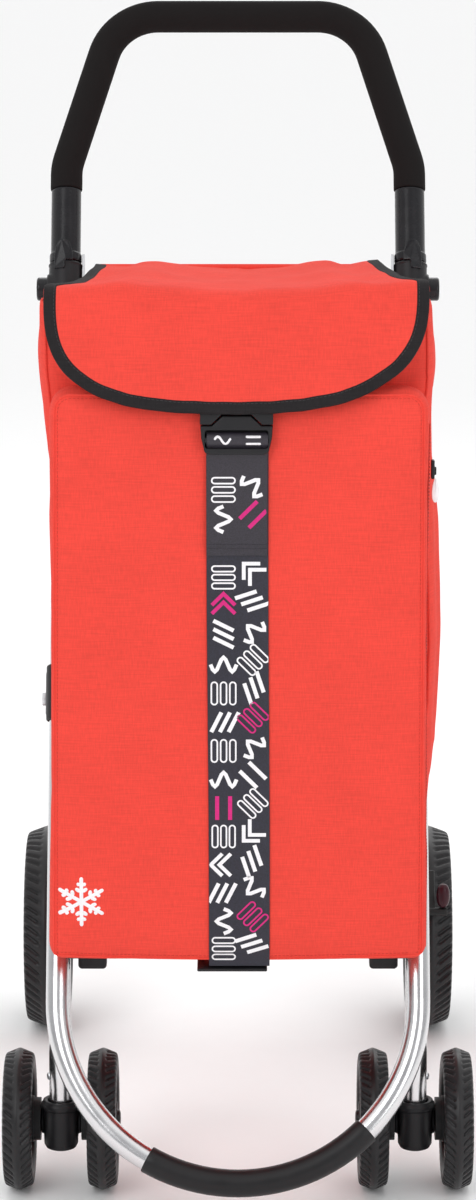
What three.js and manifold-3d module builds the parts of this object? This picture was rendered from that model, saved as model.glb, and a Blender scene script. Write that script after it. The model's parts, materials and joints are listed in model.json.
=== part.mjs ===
// Folding shopping trolley: a tube frame on two twin casters and two large rear wheels, with a
// fold-down handle, a rear leg frame that folds forward, a bag rest and a flap-topped bag.
//
// Millimetres, +Z up, +X to the right of someone facing the bag, +Y towards the rear wheels.
// The origin is on the floor below the middle of the whole trolley. Lengths along Y are first
// counted from the front wheels' axle, and the last group moves everything onto the origin.
// Places in the leaning frame are (x, n, s): across, behind the frame's plane and up along it.
import * as THREE from 'three';
import { mergeVertices } from 'three/addons/utils/BufferGeometryUtils.js';
import Module from 'manifold-3d';

const wasm = await Module();
wasm.setup();
const rad = THREE.MathUtils.degToRad;

// ---------------------------------------------------------------- driving dimensions
const clearance = 0.3; // between pieces that touch
const tubeHalf = 156.5; // frame tubes, handle arms and casters, out from the middle
const lean = rad(25.9); // the frame's plane, back from upright
const bow = { y: -120, z: 46 }; // lowest point of the frame's centre line
const frameTube = { outer: 10.25, inner: 8.75 };
const legTube = { outer: 10, inner: 8.5 };
const splitS = 830.5; // where the handle parts from the frame, up the plane

const frontWheel = { radius: 62.5, half: 13, seat: 45, band: 3, offset: 37 };
const rearWheel = { radius: 100, half: 21, seat: 78, band: 6, x: 189 };
const casterTrail = 10; // front axle behind the swivel's axis
const rearAxleY = 470;

const legPivot = { n: 24, s: 431 }; // the rear legs' bolts
const bagRest = { z: 217.5, wire: 4, half: 104, back: 372 };
const bagBottom = 222;
const bagTop = 780;
const bagFront = -44;
const bagBack = 185;
const bagNarrow = 139; // half width between the frame tubes
const pocket = { front: -85, back: -48, bottom: 233, top: 727, halfTop: 160, halfBottom: 163 };
const flapHinge = { y: 185, z: 797 };

// ---------------------------------------------------------------- materials
function finish(color, roughness, metalness = 0) {
  return new THREE.MeshStandardMaterial({ color, roughness, metalness });
}
const materials = {
  aluminium: finish(0xc9cbcd, 0.3, 0.9),
  steel: finish(0xb4b6b9, 0.35, 0.9),
  darkSteel: finish(0x2b2b2d, 0.45, 0.4),
  plastic: finish(0x29282b, 0.5),
  foam: finish(0x262424, 0.85),
  rubber: finish(0x383637, 0.8),
  fabric: finish(0xf85248, 0.85),
  webbing: finish(0x22202c, 0.7),
  board: finish(0x1e1e1f, 0.7),
  pedal: finish(0x2c0a14, 0.5),
  zip: finish(0xdedee0, 0.4),
};

// ---------------------------------------------------------------- solids
function signedVolume(geometry) {
  const place = geometry.attributes.position;
  const [a, b, c] = [new THREE.Vector3(), new THREE.Vector3(), new THREE.Vector3()];
  let sum = 0;
  for (let i = 0; i < geometry.index.count; i += 3) {
    a.fromBufferAttribute(place, geometry.index.getX(i));
    b.fromBufferAttribute(place, geometry.index.getX(i + 1));
    c.fromBufferAttribute(place, geometry.index.getX(i + 2));
    sum += a.dot(b.cross(c));
  }
  return sum / 6;
}

// Merges shared corners and turns the faces outward.
function closed(geometry) {
  const bare = geometry.clone();
  bare.deleteAttribute('normal');
  bare.deleteAttribute('uv');
  const merged = mergeVertices(bare, 1e-3);
  if (signedVolume(merged) < 0) {
    merged.setIndex(Array.from(merged.index.array).reverse());
  }
  return merged;
}

function solidOf(geometry) {
  const body = closed(geometry);
  return new wasm.Manifold(new wasm.Mesh({
    numProp: 3,
    vertProperties: new Float32Array(body.attributes.position.array),
    triVerts: new Uint32Array(body.index.array),
  }));
}

function geometryOf(solid) {
  const { vertProperties, triVerts } = solid.getMesh();
  const geometry = new THREE.BufferGeometry();
  geometry.setAttribute('position', new THREE.BufferAttribute(vertProperties, 3));
  geometry.setIndex(new THREE.BufferAttribute(triVerts, 1));
  geometry.computeVertexNormals();
  return geometry;
}

function join(first, ...others) {
  return geometryOf(others.reduce((sum, other) => sum.add(solidOf(other)), solidOf(first)));
}

function cut(first, ...tools) {
  return geometryOf(tools.reduce((rest, tool) => rest.subtract(solidOf(tool)), solidOf(first)));
}

function common(first, ...others) {
  return geometryOf(others.reduce((rest, other) => rest.intersect(solidOf(other)), solidOf(first)));
}

function mirrored(geometry) {
  return closed(geometry.clone().scale(-1, 1, 1));
}

function box([x0, x1], [y0, y1], [z0, z1]) {
  const block = new THREE.BoxGeometry(x1 - x0, y1 - y0, z1 - z0);
  return block.translate((x0 + x1) / 2, (y0 + y1) / 2, (z0 + z1) / 2);
}

// A rod along X or Z, from one end to the other, through (y, z) or (x, y).
function rodX(radius, [from, to], y = 0, z = 0, sides = 12) {
  const rod = new THREE.CylinderGeometry(radius, radius, to - from, sides);
  return rod.rotateZ(-Math.PI / 2).translate((from + to) / 2, y, z);
}

function rodZ(radius, [from, to], x = 0, y = 0, sides = 12) {
  const rod = new THREE.CylinderGeometry(radius, radius, to - from, sides);
  return rod.rotateX(Math.PI / 2).translate(x, y, (from + to) / 2);
}

// Turned about X or Z: each profile point is [radius, place along the axis].
function turnedX(profile, sides = 16, start = 0) {
  const points = profile.map(([radius, along]) => new THREE.Vector2(radius, along));
  return closed(new THREE.LatheGeometry(points, sides, start).rotateZ(-Math.PI / 2));
}

function turnedZ(profile, sides = 16) {
  const points = profile.map(([radius, along]) => new THREE.Vector2(radius, along));
  return closed(new THREE.LatheGeometry(points, sides).rotateX(Math.PI / 2));
}

// Flat outlines given thickness: a (y, z) outline along X, an (x, z) one along Y, (x, y) along Z.
const axes = {
  x: [new THREE.Vector3(0, 1, 0), new THREE.Vector3(0, 0, 1), new THREE.Vector3(1, 0, 0)],
  y: [new THREE.Vector3(1, 0, 0), new THREE.Vector3(0, 0, 1), new THREE.Vector3(0, -1, 0)],
  z: [new THREE.Vector3(1, 0, 0), new THREE.Vector3(0, 1, 0), new THREE.Vector3(0, 0, 1)],
};

function slab(axis, outline, [from, to], curveSegments = 4) {
  const shape = outline instanceof THREE.Shape ? outline : shapeOf(outline);
  const settings = { depth: to - from, bevelEnabled: false, curveSegments };
  const body = new THREE.ExtrudeGeometry(shape, settings);
  body.applyMatrix4(new THREE.Matrix4().makeBasis(...axes[axis]));
  const start = axis === 'y' ? to : from;
  const along = axis === 'y' ? new THREE.Vector3(0, 1, 0) : axes[axis][2];
  return body.translate(...along.clone().multiplyScalar(start).toArray());
}

function shapeOf(points) {
  return new THREE.Shape(points.map(([u, v]) => new THREE.Vector2(u, v)));
}

// A rectangle with round corners, from its lowest to its highest corner.
function roundedRectangle([u0, u1], [v0, v1], radius) {
  const shape = new THREE.Shape();
  shape.absarc(u1 - radius, v0 + radius, radius, -Math.PI / 2, 0);
  shape.absarc(u1 - radius, v1 - radius, radius, 0, Math.PI / 2);
  shape.absarc(u0 + radius, v1 - radius, radius, Math.PI / 2, Math.PI);
  shape.absarc(u0 + radius, v0 + radius, radius, Math.PI, Math.PI * 1.5);
  return shape;
}

// ---------------------------------------------------------------- tubes
// A path through stations, which ExtrudeGeometry visits one by one.
class StationPath extends THREE.Curve {
  constructor(stations) {
    super();
    this.stations = stations;
  }

  getPointAt(u, target = new THREE.Vector3()) {
    return target.copy(this.stations[Math.round(u * (this.stations.length - 1))]);
  }

  getTangentAt(u, target = new THREE.Vector3()) {
    const last = this.stations.length - 1;
    const here = Math.round(u * last);
    const into = Math.max(here, 1);
    const out = Math.min(here, last - 1);
    const arriving = this.stations[into].clone().sub(this.stations[into - 1]).normalize();
    const leaving = this.stations[out + 1].clone().sub(this.stations[out]).normalize();
    return target.copy(arriving.add(leaving).normalize());
  }
}

// Stations that run straight between corners and turn each inner corner on an arc.
function bentPath(corners, radii, stepDegrees) {
  const stations = [corners[0]];
  const visit = (point) => {
    if (point.distanceTo(stations.at(-1)) > 0.01) {
      stations.push(point);
    }
  };
  radii.forEach((radius, i) => {
    const corner = corners[i + 1];
    const back = corners[i].clone().sub(corner).normalize();
    const ahead = corners[i + 2].clone().sub(corner).normalize();
    const turn = Math.PI - back.angleTo(ahead);
    const inward = back.clone().add(ahead).normalize();
    const centre = corner.clone().addScaledVector(inward, radius / Math.cos(turn / 2));
    const start = corner.clone().addScaledVector(back, radius * Math.tan(turn / 2)).sub(centre);
    const end = corner.clone().addScaledVector(ahead, radius * Math.tan(turn / 2)).sub(centre);
    const axis = start.clone().cross(end).normalize();
    const steps = Math.round(turn / rad(stepDegrees));
    for (let step = 0; step <= steps; step += 1) {
      visit(start.clone().applyAxisAngle(axis, (turn * step) / steps).add(centre));
    }
  });
  visit(corners.at(-1));
  return stations;
}

function circlePoints(radius, sides) {
  return Array.from({ length: sides }, (_, i) => {
    const angle = (2 * Math.PI * i) / sides;
    return new THREE.Vector2(radius * Math.cos(angle), radius * Math.sin(angle));
  });
}

// A tube along stations, hollow where it has an inner radius.
function tube(stations, outer, inner = 0, sides = 12) {
  const section = new THREE.Shape(circlePoints(outer, sides));
  if (inner > 0) {
    section.holes.push(new THREE.Path(circlePoints(inner, sides)));
  }
  const settings = { steps: stations.length - 1, extrudePath: new StationPath(stations) };
  return closed(new THREE.ExtrudeGeometry(section, settings));
}

// A point in the leaning frame's plane or the handle's: across and up.
const inPlane = (x, s) => new THREE.Vector3(x, 0, s);

// ---------------------------------------------------------------- main frame
const frameTop = splitS - 8;

function mainFrame() {
  const corners = [
    inPlane(-tubeHalf, frameTop),
    inPlane(-tubeHalf, 0),
    inPlane(tubeHalf, 0),
    inPlane(tubeHalf, frameTop),
  ];
  return tube(bentPath(corners, [tubeHalf, tubeHalf], 15), frameTube.outer, frameTube.inner);
}

// Grip round the bottom of the bow, a little longer to the right.
const bowGripRadius = 11.9;

function bowGrip() {
  const stations = [];
  for (let angle = -30; angle <= 45; angle += 15) {
    const turn = rad(angle);
    stations.push(inPlane(tubeHalf * Math.sin(turn), tubeHalf * (1 - Math.cos(turn))));
  }
  return tube(stations, bowGripRadius, frameTube.outer + 0.6);
}

// ---------------------------------------------------------------- handle joint
// The knuckle, the handle's end and the pin are drawn about (0, 0), where the split crosses
// the tube's axis on the right-hand side. The hinge pin lies behind the tube.
const knuckle = { radius: 15, length: 46, bore: frameTube.outer + 0.4 };
const hinge = { n: 19, lug: 5, half: 5.5, cheekOuter: 11.5, pin: 2.4 };
const button = { s: -24, radius: 10.7, inner: 15, outer: 26, travel: 3.5 };

function frameKnuckle() {
  const sleeve = rodZ(knuckle.radius, [-knuckle.length, -clearance], 0, 0, 20);
  const collar = rodX(button.radius + 2.4, [8, button.inner + 1.5], 0, button.s, 20);
  const cheek = slab('x', [
    [4, -24],
    [hinge.n, -10],
    [hinge.n + hinge.lug, -4],
    [hinge.n + hinge.lug, 3],
    [hinge.n + 2, hinge.lug],
    [hinge.n - 3, hinge.lug - 1],
    [hinge.n - hinge.lug, -clearance],
    [4, -clearance],
  ], [-hinge.cheekOuter, hinge.cheekOuter]);
  const body = join(sleeve, collar, cheek);
  const seat = button.inner - button.travel - clearance;
  return cut(
    body,
    rodZ(knuckle.bore, [-knuckle.length - 1, -7.5]),
    rodX(button.radius + clearance, [seat, 40], 0, button.s, 20),
    rodX(hinge.lug + 1, [-hinge.half - clearance, hinge.half + clearance], hinge.n, 0, 16),
    box([-hinge.half - clearance, hinge.half + clearance], [hinge.n, 30], [-30, 10]),
    rodX(hinge.pin + clearance, [-20, 20], hinge.n, 0),
  );
}

const endSleeve = { radius: 13.5, length: 70, bore: 11.7, floor: 4 };

function handleEnd() {
  const sleeve = rodZ(endSleeve.radius, [clearance, endSleeve.length], 0, 0, 20);
  const lug = slab('x', [
    [6, clearance],
    [hinge.n - 4, clearance],
    [hinge.n - 3, -hinge.lug + 1],
    [hinge.n + 2, -hinge.lug],
    [hinge.n + hinge.lug, -2],
    [hinge.n + hinge.lug, 3],
    [6, 24],
  ], [-hinge.half, hinge.half]);
  const tongue = slab('y', [
    [10, -8],
    [0, -8],
    [0, -1],
    [-7, -1],
    [-6, 8],
    [-4, 14],
    [-1, 17.5],
    [4, 17.5],
    [7, 14],
    [9, 8],
  ], [-knuckle.radius - 2.3, -knuckle.radius - clearance]);
  const web = box([-5, 8], [-knuckle.radius - 1, -8], [clearance, 12]);
  return cut(
    join(sleeve, lug, tongue, web),
    rodZ(endSleeve.bore, [endSleeve.floor, endSleeve.length + 1]),
    rodX(hinge.pin + clearance, [-20, 20], hinge.n, 0),
  );
}

function handlePin() {
  const ends = hinge.cheekOuter + 1.5;
  return rodX(hinge.pin, [-ends, ends], hinge.n, 0);
}

function handleButton() {
  return turnedX([
    [0, button.inner],
    [button.radius, button.inner],
    [button.radius, button.outer - 1.5],
    [button.radius - 1.5, button.outer],
    [0, button.outer],
  ], 20);
}

// The bag hangs from a plate on the inner side of each knuckle.
function bagHook() {
  return slab('x', [
    [-7, -30],
    [8, -30],
    [8, -2],
    [2, 8],
    [-4, 8],
    [-7, 2],
  ], [-knuckle.radius - 2.4, -knuckle.radius - clearance]);
}

// ---------------------------------------------------------------- handle
const handle = { kneeS: 93, topS: 240, cornerX: 112, kneeRadius: 50, cornerRadius: 52, tube: 11 };

function handleStations(start) {
  const corners = [
    inPlane(-tubeHalf, start),
    inPlane(-tubeHalf, handle.kneeS),
    inPlane(-handle.cornerX, handle.topS),
    inPlane(handle.cornerX, handle.topS),
    inPlane(tubeHalf, handle.kneeS),
    inPlane(tubeHalf, start),
  ];
  const { kneeRadius, cornerRadius } = handle;
  return bentPath(corners, [kneeRadius, cornerRadius, cornerRadius, kneeRadius], 15);
}

function handleTube() {
  return tube(handleStations(endSleeve.floor + clearance), handle.tube, handle.tube - 1.5, 8);
}

function handleGrip() {
  return tube(handleStations(endSleeve.length + clearance), 14.5, handle.tube + 0.7);
}

// ---------------------------------------------------------------- casters
const axleZ = frontWheel.radius;
const swivelY = -casterTrail;
const housing = { radius: 15.5, bottom: 39, floor: 77, rim: 84, boss: 13, half: 17.7 };
const stemRadius = 4;
const casterAxleRadius = 4;

// Drawn about the swivel's axis: x and y from it, z from the floor.
function casterHousing() {
  const cup = turnedZ([
    [0, housing.bottom],
    [housing.radius - 3, housing.bottom],
    [housing.radius, housing.bottom + 4],
    [housing.radius, housing.rim],
    [housing.radius - 1.5, housing.rim],
    [housing.radius - 4, housing.floor],
    [0, housing.floor],
  ], 20);
  const boss = rodX(housing.boss, [-housing.half, housing.half], casterTrail, axleZ, 16);
  const stemBore = rodZ(stemRadius + clearance, [housing.bottom + 4, housing.rim]);
  const axleBore = rodX(casterAxleRadius + clearance, [-30, 30], casterTrail, axleZ);
  return cut(join(cup, boss), stemBore, axleBore);
}

// Plug pressed into the leg tube, with the pin that the housing turns on.
function casterStem() {
  return turnedZ([
    [0, housing.bottom + 5],
    [stemRadius, housing.bottom + 5],
    [stemRadius, housing.floor + 0.8],
    [legTube.inner - clearance, housing.floor + 0.8],
    [legTube.inner - clearance, housing.floor + 32],
    [0, housing.floor + 32],
  ], 12);
}

function casterAxle() {
  const reach = frontWheel.offset + frontWheel.half;
  return turnedX([
    [0, -reach - 2.4],
    [6, -reach - 2.4],
    [8, -reach - 1],
    [8, -reach + 0.2],
    [casterAxleRadius, -reach + 0.2],
    [casterAxleRadius, reach - 0.2],
    [8, reach - 0.2],
    [8, reach + 1],
    [6, reach + 2.4],
    [0, reach + 2.4],
  ], 12);
}

// Upright tube from the housing to the underside of the leaning frame tube.
function casterLeg() {
  const bottom = housing.floor + 0.5;
  const outside = rodZ(legTube.outer, [bottom, 300], 0, swivelY, 16);
  const inside = rodZ(legTube.inner, [bottom - 1, 301], 0, swivelY);
  const underFrame = box([-30, 30], [frameTube.outer + clearance, 400], [-200, 400]);
  underFrame.rotateX(-lean).translate(0, bow.y, bow.z);
  const pinHole = rodX(bagRest.wire + clearance, [-20, 0], swivelY, bagRest.z);
  return cut(common(outside, underFrame), inside, pinHole);
}

// ---------------------------------------------------------------- wheels
// Drawn about the axle, with the wheel's middle at x = 0. A flat of the many-sided tread is
// at the bottom, and the tread's corners lie a little outside the nominal radius.
const wheelSides = 24;
const flatFactor = 1 / Math.cos(Math.PI / wheelSides);

function tyre({ radius, half, seat, band }) {
  const tread = radius * flatFactor;
  const wall = tread - (tread - seat) * 0.45;
  const shoulder = tread - (tread - seat) * 0.12;
  return turnedX([
    [seat, -half * 0.8],
    [wall, -half],
    [shoulder, -half * 0.72],
    [tread, -band],
    [tread, band],
    [shoulder, half * 0.72],
    [wall, half],
    [seat, half * 0.8],
    [seat, -half * 0.8],
  ], wheelSides, Math.PI / wheelSides);
}

// One window of a spoked wheel, between an inner and an outer radius.
function window(inner, outer, middle, spread) {
  const corners = [
    [inner, -0.62], [outer * 0.94, -1], [outer, -0.5], [outer, 0.5], [outer * 0.94, 1], [inner, 0.62],
  ];
  return new THREE.Path(corners.map(([radius, share]) => {
    const angle = middle + share * spread;
    return new THREE.Vector2(radius * Math.cos(angle), radius * Math.sin(angle));
  }));
}

// A spoked rim with a stepped hub. The hub's inner face is at hubFrom and its outer at hubTo.
function rim({ seat, half }, spokes, hubRadius, boreRadius, hubFrom, hubTo) {
  const face = new THREE.Shape(circlePoints(seat / flatFactor - clearance, wheelSides));
  for (let i = 0; i < spokes; i += 1) {
    const middle = (2 * Math.PI * (i + 0.5)) / spokes;
    face.holes.push(window(hubRadius + 3, seat * 0.84, middle, (Math.PI / spokes) * 0.72));
  }
  const plate = slab('x', face, [-half * 0.5, half * 0.5]);
  const hub = rodX(hubRadius, [hubFrom, hubTo], 0, 0, 16);
  return cut(join(plate, hub), rodX(boreRadius + clearance, [hubFrom - 5, hubTo + 5]));
}

// ---------------------------------------------------------------- rear leg bracket
// Drawn about the frame tube's axis at the height of the pivot, on the right-hand side.
const cheek = { inner: legTube.outer + 0.5, outer: legTube.outer + 3.5 };
const boltRadius = 3;

function legBracket() {
  const saddle = rodZ(13, [-25, 25], 0, 0, 16);
  const arms = slab('x', [
    [0, -20],
    [legPivot.n, -10],
    [legPivot.n + 8, -6],
    [legPivot.n + 10, 0],
    [legPivot.n + 8, 6],
    [legPivot.n, 10],
    [0, 20],
  ], [-cheek.outer, cheek.outer]);
  const legRoom = box([-cheek.inner, cheek.inner], [11.5, 60], [-60, 60]);
  const seat = rodZ(frameTube.outer + 0.8, [-30, 30]);
  return cut(join(saddle, arms), legRoom, seat, rodX(boltRadius + clearance, [-30, 30], legPivot.n));
}

function legBolt() {
  const head = -cheek.outer - clearance;
  return turnedX([
    [0, head - 1.8],
    [5, head - 1.8],
    [5.5, head - 1],
    [5.5, head],
    [boltRadius, head],
    [boltRadius, cheek.outer + 4],
    [2, cheek.outer + 5],
    [0, cheek.outer + 5],
  ], 12);
}

// ---------------------------------------------------------------- rear legs
// Drawn about the pivot bolt, with the leg running down local -Z to the axle.
const pivotY = bow.y + legPivot.n * Math.cos(lean) + legPivot.s * Math.sin(lean);
const pivotZ = bow.z - legPivot.n * Math.sin(lean) + legPivot.s * Math.cos(lean);
const legRun = rearAxleY - pivotY;
const legDrop = pivotZ - rearWheel.radius;
const legLength = Math.hypot(legRun, legDrop);
const legTilt = Math.atan2(legRun, legDrop);
const crossbar = { radius: 8 };
crossbar.z = bagRest.z - bagRest.wire - crossbar.radius - clearance;
crossbar.along = (pivotZ - crossbar.z) / Math.cos(legTilt);
const rearAxleRadius = 5;
const foot = { radius: 15, half: 10, neck: legTube.inner - clearance };

function rearLeg() {
  const body = rodZ(legTube.outer, [-legLength + foot.radius + 1.5, 6.5]);
  const inside = rodZ(legTube.inner, [-legLength, 4.5]);
  return cut(body, inside, rodX(boltRadius + clearance, [-30, 30]));
}

function legFoot() {
  const eye = rodX(foot.radius, [-foot.half, foot.half], 0, -legLength, 16);
  const plug = rodZ(foot.neck, [-legLength, -legLength + 45]);
  return cut(join(eye, plug), rodX(rearAxleRadius + clearance, [-30, 30], 0, -legLength));
}

function rearCrossbar() {
  const reach = tubeHalf - legTube.outer - clearance;
  return cut(
    rodX(crossbar.radius, [-reach, reach], 0, -crossbar.along),
    rodX(crossbar.radius - 1.5, [-reach - 1, reach + 1], 0, -crossbar.along),
  );
}

function rearAxle() {
  const reach = rearWheel.x + rearWheel.half - 5;
  return rodX(rearAxleRadius, [-reach, reach], 0, -legLength);
}

function axleCap() {
  return turnedX([
    [0, rearWheel.half - 4.5],
    [13, rearWheel.half - 4.5],
    [13, rearWheel.half - 2],
    [9, rearWheel.half],
    [0, rearWheel.half],
  ], 16);
}

// ---------------------------------------------------------------- brake on the right rear wheel
// Drawn with the rear leg. The lever turns on a rod along X, held by a clamp on the leg, and
// its shoe comes down on the tread.
const brake = { n: -35, along: 386, rod: 4, shoeRadius: 106, shoeFrom: 14, shoeTo: 35, pedal: 42.5 };

function brakeBracket() {
  const sleeve = rodZ(11.6, [-brake.along - 10, -brake.along + 10], 0, 0, 16);
  const ear = box([-3, 3], [brake.n - 8, -10.2], [-brake.along - 8, -brake.along + 8]);
  return cut(
    join(sleeve, ear),
    rodZ(legTube.outer + 0.5, [-brake.along - 20, -brake.along + 20]),
    rodX(brake.rod + clearance, [-20, 20], brake.n, -brake.along),
  );
}

function brakeLever() {
  const rod = rodX(brake.rod, [-5, brake.pedal + 4], brake.n, -brake.along);
  const shoeFace = -legLength + brake.shoeRadius;
  const arm = box([brake.shoeFrom, brake.shoeTo], [brake.n, 8], [-brake.along - 3, -brake.along + 3]);
  const shoe = box([brake.shoeFrom, brake.shoeTo], [-8, 8], [shoeFace, -brake.along]);
  return join(rod, arm, shoe);
}

// The pedal stands upright on the rod's outer end.
function brakePedal() {
  return turnedZ([
    [0, brake.rod + clearance],
    [5.5, brake.rod + clearance],
    [6.5, 8],
    [6.5, 22],
    [4, 27],
    [0, 28],
  ], 14);
}

// ---------------------------------------------------------------- bag rest
// A wire loop that turns on its own front bar, held in the caster legs.
function bagRestLoop() {
  const { z, half, back, wire } = bagRest;
  const at = (x, y) => new THREE.Vector3(x, y, z);
  const corners = [at(-half, swivelY), at(-half, back), at(half, back), at(half, swivelY)];
  const sides = tube(bentPath(corners, [18, 18], 30), wire, 0, 8);
  const reach = tubeHalf - 6;
  return join(sides, rodX(wire, [-reach, reach], swivelY, z));
}

function restPad() {
  const { z, wire } = bagRest;
  const block = box([-12.5, 12.5], [-5.2, 9], [z - 12.5, z + 1]);
  return cut(block, rodX(wire + clearance + 0.2, [-20, 20], 0, z));
}

// ---------------------------------------------------------------- bag
// In front of the leaning tubes the bag swells past them, and behind it is narrow enough to
// hang between them. The inset draws the inner surface.
const bagSwell = [[222, 158], [330, 163], [400, 166], [500, 174], [600, 169], [700, 168], [782, 165]];

function planeY(z, behind) {
  return bow.y + (z - bow.z) * Math.tan(lean) + behind / Math.cos(lean);
}

function bagShape(inset, bottom, top) {
  const across = bagSwell.map(([z, half]) => [half - inset, z]);
  across[0][1] = bottom;
  across.at(-1)[1] = top;
  const left = across.map(([half, z]) => [-half, z]).reverse();
  const frontView = slab('y', [...across, ...left], [bagFront + inset, bagBack - inset]);
  const ahead = -frameTube.outer - 3 - inset;
  const tipZ = 250 + inset;
  const back = bagBack - inset;
  const uprightZ = bow.z + (back - bow.y - ahead / Math.cos(lean)) / Math.tan(lean);
  const sideView = slab('x', [
    [bagFront + inset, tipZ],
    [planeY(tipZ, ahead), tipZ],
    [back, uprightZ],
    [back, top],
    [bagFront + inset, top],
  ], [-200, 200]);
  const depth = [bagFront + inset, bagBack - inset];
  const wide = slab('z', roundedRectangle([-190, 190], depth, 2), [bottom, top]);
  const width = [-bagNarrow + inset, bagNarrow - inset];
  const narrow = slab('z', roundedRectangle(width, depth, 22 - inset), [bottom, top]);
  return join(common(frontView, sideView, wide), narrow);
}

const bagWall = 4;

function bagBody() {
  return cut(bagShape(0, bagBottom, bagTop), bagShape(bagWall, bagBottom + bagWall, bagTop + 5));
}

function bagBaseBoard() {
  const inset = bagWall + 1.5;
  const width = [-bagNarrow + inset, bagNarrow - inset];
  const outline = roundedRectangle(width, [bagFront + inset, bagBack - inset], 18);
  const floor = bagBottom + bagWall + clearance;
  return slab('z', outline, [floor, floor + 3], 3);
}

// The insulated pocket: a shallow box with its mouth along the top, under the flap.
function pocketOutline(inset) {
  const { bottom, top, halfTop, halfBottom } = pocket;
  const shape = new THREE.Shape();
  const round = 18 - inset;
  shape.moveTo(0, bottom + inset);
  shape.lineTo(halfBottom - inset - round, bottom + inset);
  shape.absarc(halfBottom - inset - round, bottom + inset + round, round, -Math.PI / 2, 0);
  shape.absarc(halfTop - inset - round, top - inset - round, round, 0, Math.PI / 2);
  shape.absarc(inset + round - halfTop, top - inset - round, round, Math.PI / 2, Math.PI);
  shape.absarc(inset + round - halfBottom, bottom + inset + round, round, Math.PI, Math.PI * 1.5);
  return shape;
}

function frontPocket() {
  const wall = 3;
  const outside = slab('y', pocketOutline(0), [pocket.front, pocket.back]);
  const inside = slab('y', pocketOutline(wall), [pocket.front + wall, pocket.back - wall]);
  const mouth = box([-140, 140], [pocket.front + wall, pocket.back - wall], [pocket.top - 30, 760]);
  return cut(outside, inside, mouth);
}

// The flap: a sheet that runs forward from its hinge, folds over and hangs in front.
const flapThickness = 5;
const flapFold = { y: -46, z: 806 };
const flapEdge = { y: -98, z: 711 };

function flapSideView() {
  const t = flapThickness;
  return [
    [flapHinge.y - 2, flapHinge.z - t / 2],
    [flapHinge.y - 2, flapHinge.z + t / 2],
    [flapFold.y, flapFold.z],
    [flapFold.y - 14, flapFold.z - 7],
    [flapEdge.y - t, flapEdge.z],
    [flapEdge.y, flapEdge.z],
    [flapFold.y - 9, flapFold.z - 9],
    [flapFold.y, flapFold.z - t],
  ];
}

// Seen from the front: straight at the fold, then one long curve across the lower edge.
function flapFrontView() {
  const half = 162;
  const shape = new THREE.Shape();
  shape.moveTo(-half, flapFold.z + 10);
  shape.lineTo(-half, 790);
  shape.bezierCurveTo(-half, 735, -115, flapEdge.z, -30, flapEdge.z);
  shape.lineTo(30, flapEdge.z);
  shape.bezierCurveTo(115, flapEdge.z, half, 735, half, 790);
  shape.lineTo(half, flapFold.z + 10);
  return shape;
}

// Seen from above: full width at the front, narrower where it passes between the knuckles.
function flapPlan() {
  return [
    [-162, -130], [162, -130], [162, -42], [140, -22], [126, flapHinge.y], [-126, flapHinge.y],
    [-140, -22], [-162, -42],
  ];
}

function flap() {
  return common(
    slab('x', flapSideView(), [-200, 200]),
    slab('y', flapFrontView(), [-150, 250], 8),
    slab('z', flapPlan(), [600, 900]),
  );
}

// Two halves of the buckle: a receiver under the flap's edge and a tongue on the strap.
const clip = { half: 32.5, front: -97.5, back: -87.5, low: 673, high: 710, tongue: 13, tongueHalf: 21 };

function tongueOutline(grow) {
  const { low, high, half, tongue, tongueHalf } = clip;
  const shoulder = high - tongue + grow;
  return [
    [-half, low], [half, low], [half, shoulder], [tongueHalf + grow, shoulder],
    [12 + grow, high - 1.5 + grow], [-12 - grow, high - 1.5 + grow], [-tongueHalf - grow, shoulder],
    [-half, shoulder],
  ];
}

function strapClip() {
  const body = slab('y', tongueOutline(0), [clip.front, clip.back]);
  const slot = box([-27.5, 27.5], [clip.front + 2, clip.back + 1], [clip.low + 4, clip.low + 19]);
  const mouth = box([-27.5, 27.5], [clip.front - 1, clip.back], [clip.low + 7, clip.low + 16]);
  return cut(body, slot, mouth);
}

function flapClip() {
  const { half, high, front, back, tongue } = clip;
  const body = box([-half, half], [front, back], [high - tongue + clearance, high + 12]);
  const grown = slab('y', tongueOutline(clearance), [front - 5, back + 5]);
  const underFlap = box([-half - 1, half + 1], [front - 5, front + 6], [high, high + 20]);
  return cut(body, grown, underFlap);
}

// The strap lies on the pocket's face, doubled at the top, and turns under the pocket.
function bagStrap() {
  const face = pocket.front - 0.5;
  const under = pocket.bottom - 0.5;
  const sideView = [
    [face, 692],
    [face - 1.6, 692],
    [face - 1.6, clip.low - 4],
    [face - 4.5, clip.low - 6],
    [face - 4.5, 575],
    [face - 2, 573],
    [face - 2, under + 3],
    [face, under - 2],
    [-52, under - 2],
    [-52, under],
    [face, under],
  ];
  return slab('x', sideView, [-27, 27]);
}

function zipSlider() {
  return join(
    box([165, 167], [-71, -61], [640, 662]),
    box([164, 169.5], [-70, -62], [658, 668]),
  );
}

// ---------------------------------------------------------------- assembly
const trolley = new THREE.Group();
const middleY = (rearAxleY + rearWheel.radius + bow.y - bowGripRadius) / 2;
const onFloor = new THREE.Group();
onFloor.position.y = -middleY;
trolley.add(onFloor);

function group(parent, x, y, z, turnX = 0) {
  const made = new THREE.Group();
  made.position.set(x, y, z);
  made.rotation.x = turnX;
  parent.add(made);
  return made;
}

function place(parent, name, geometry, material) {
  const mesh = new THREE.Mesh(geometry, material);
  mesh.name = name;
  parent.add(mesh);
}

// Places a right-hand piece and its mirror image, each as far out as x says.
function placePair(parent, name, geometry, material, x = tubeHalf) {
  place(group(parent, x, 0, 0), `${name}_right`, geometry, material);
  place(group(parent, -x, 0, 0), `${name}_left`, mirrored(geometry), material);
}

const { aluminium, steel, darkSteel, plastic, foam, rubber, fabric, webbing } = materials;

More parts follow.
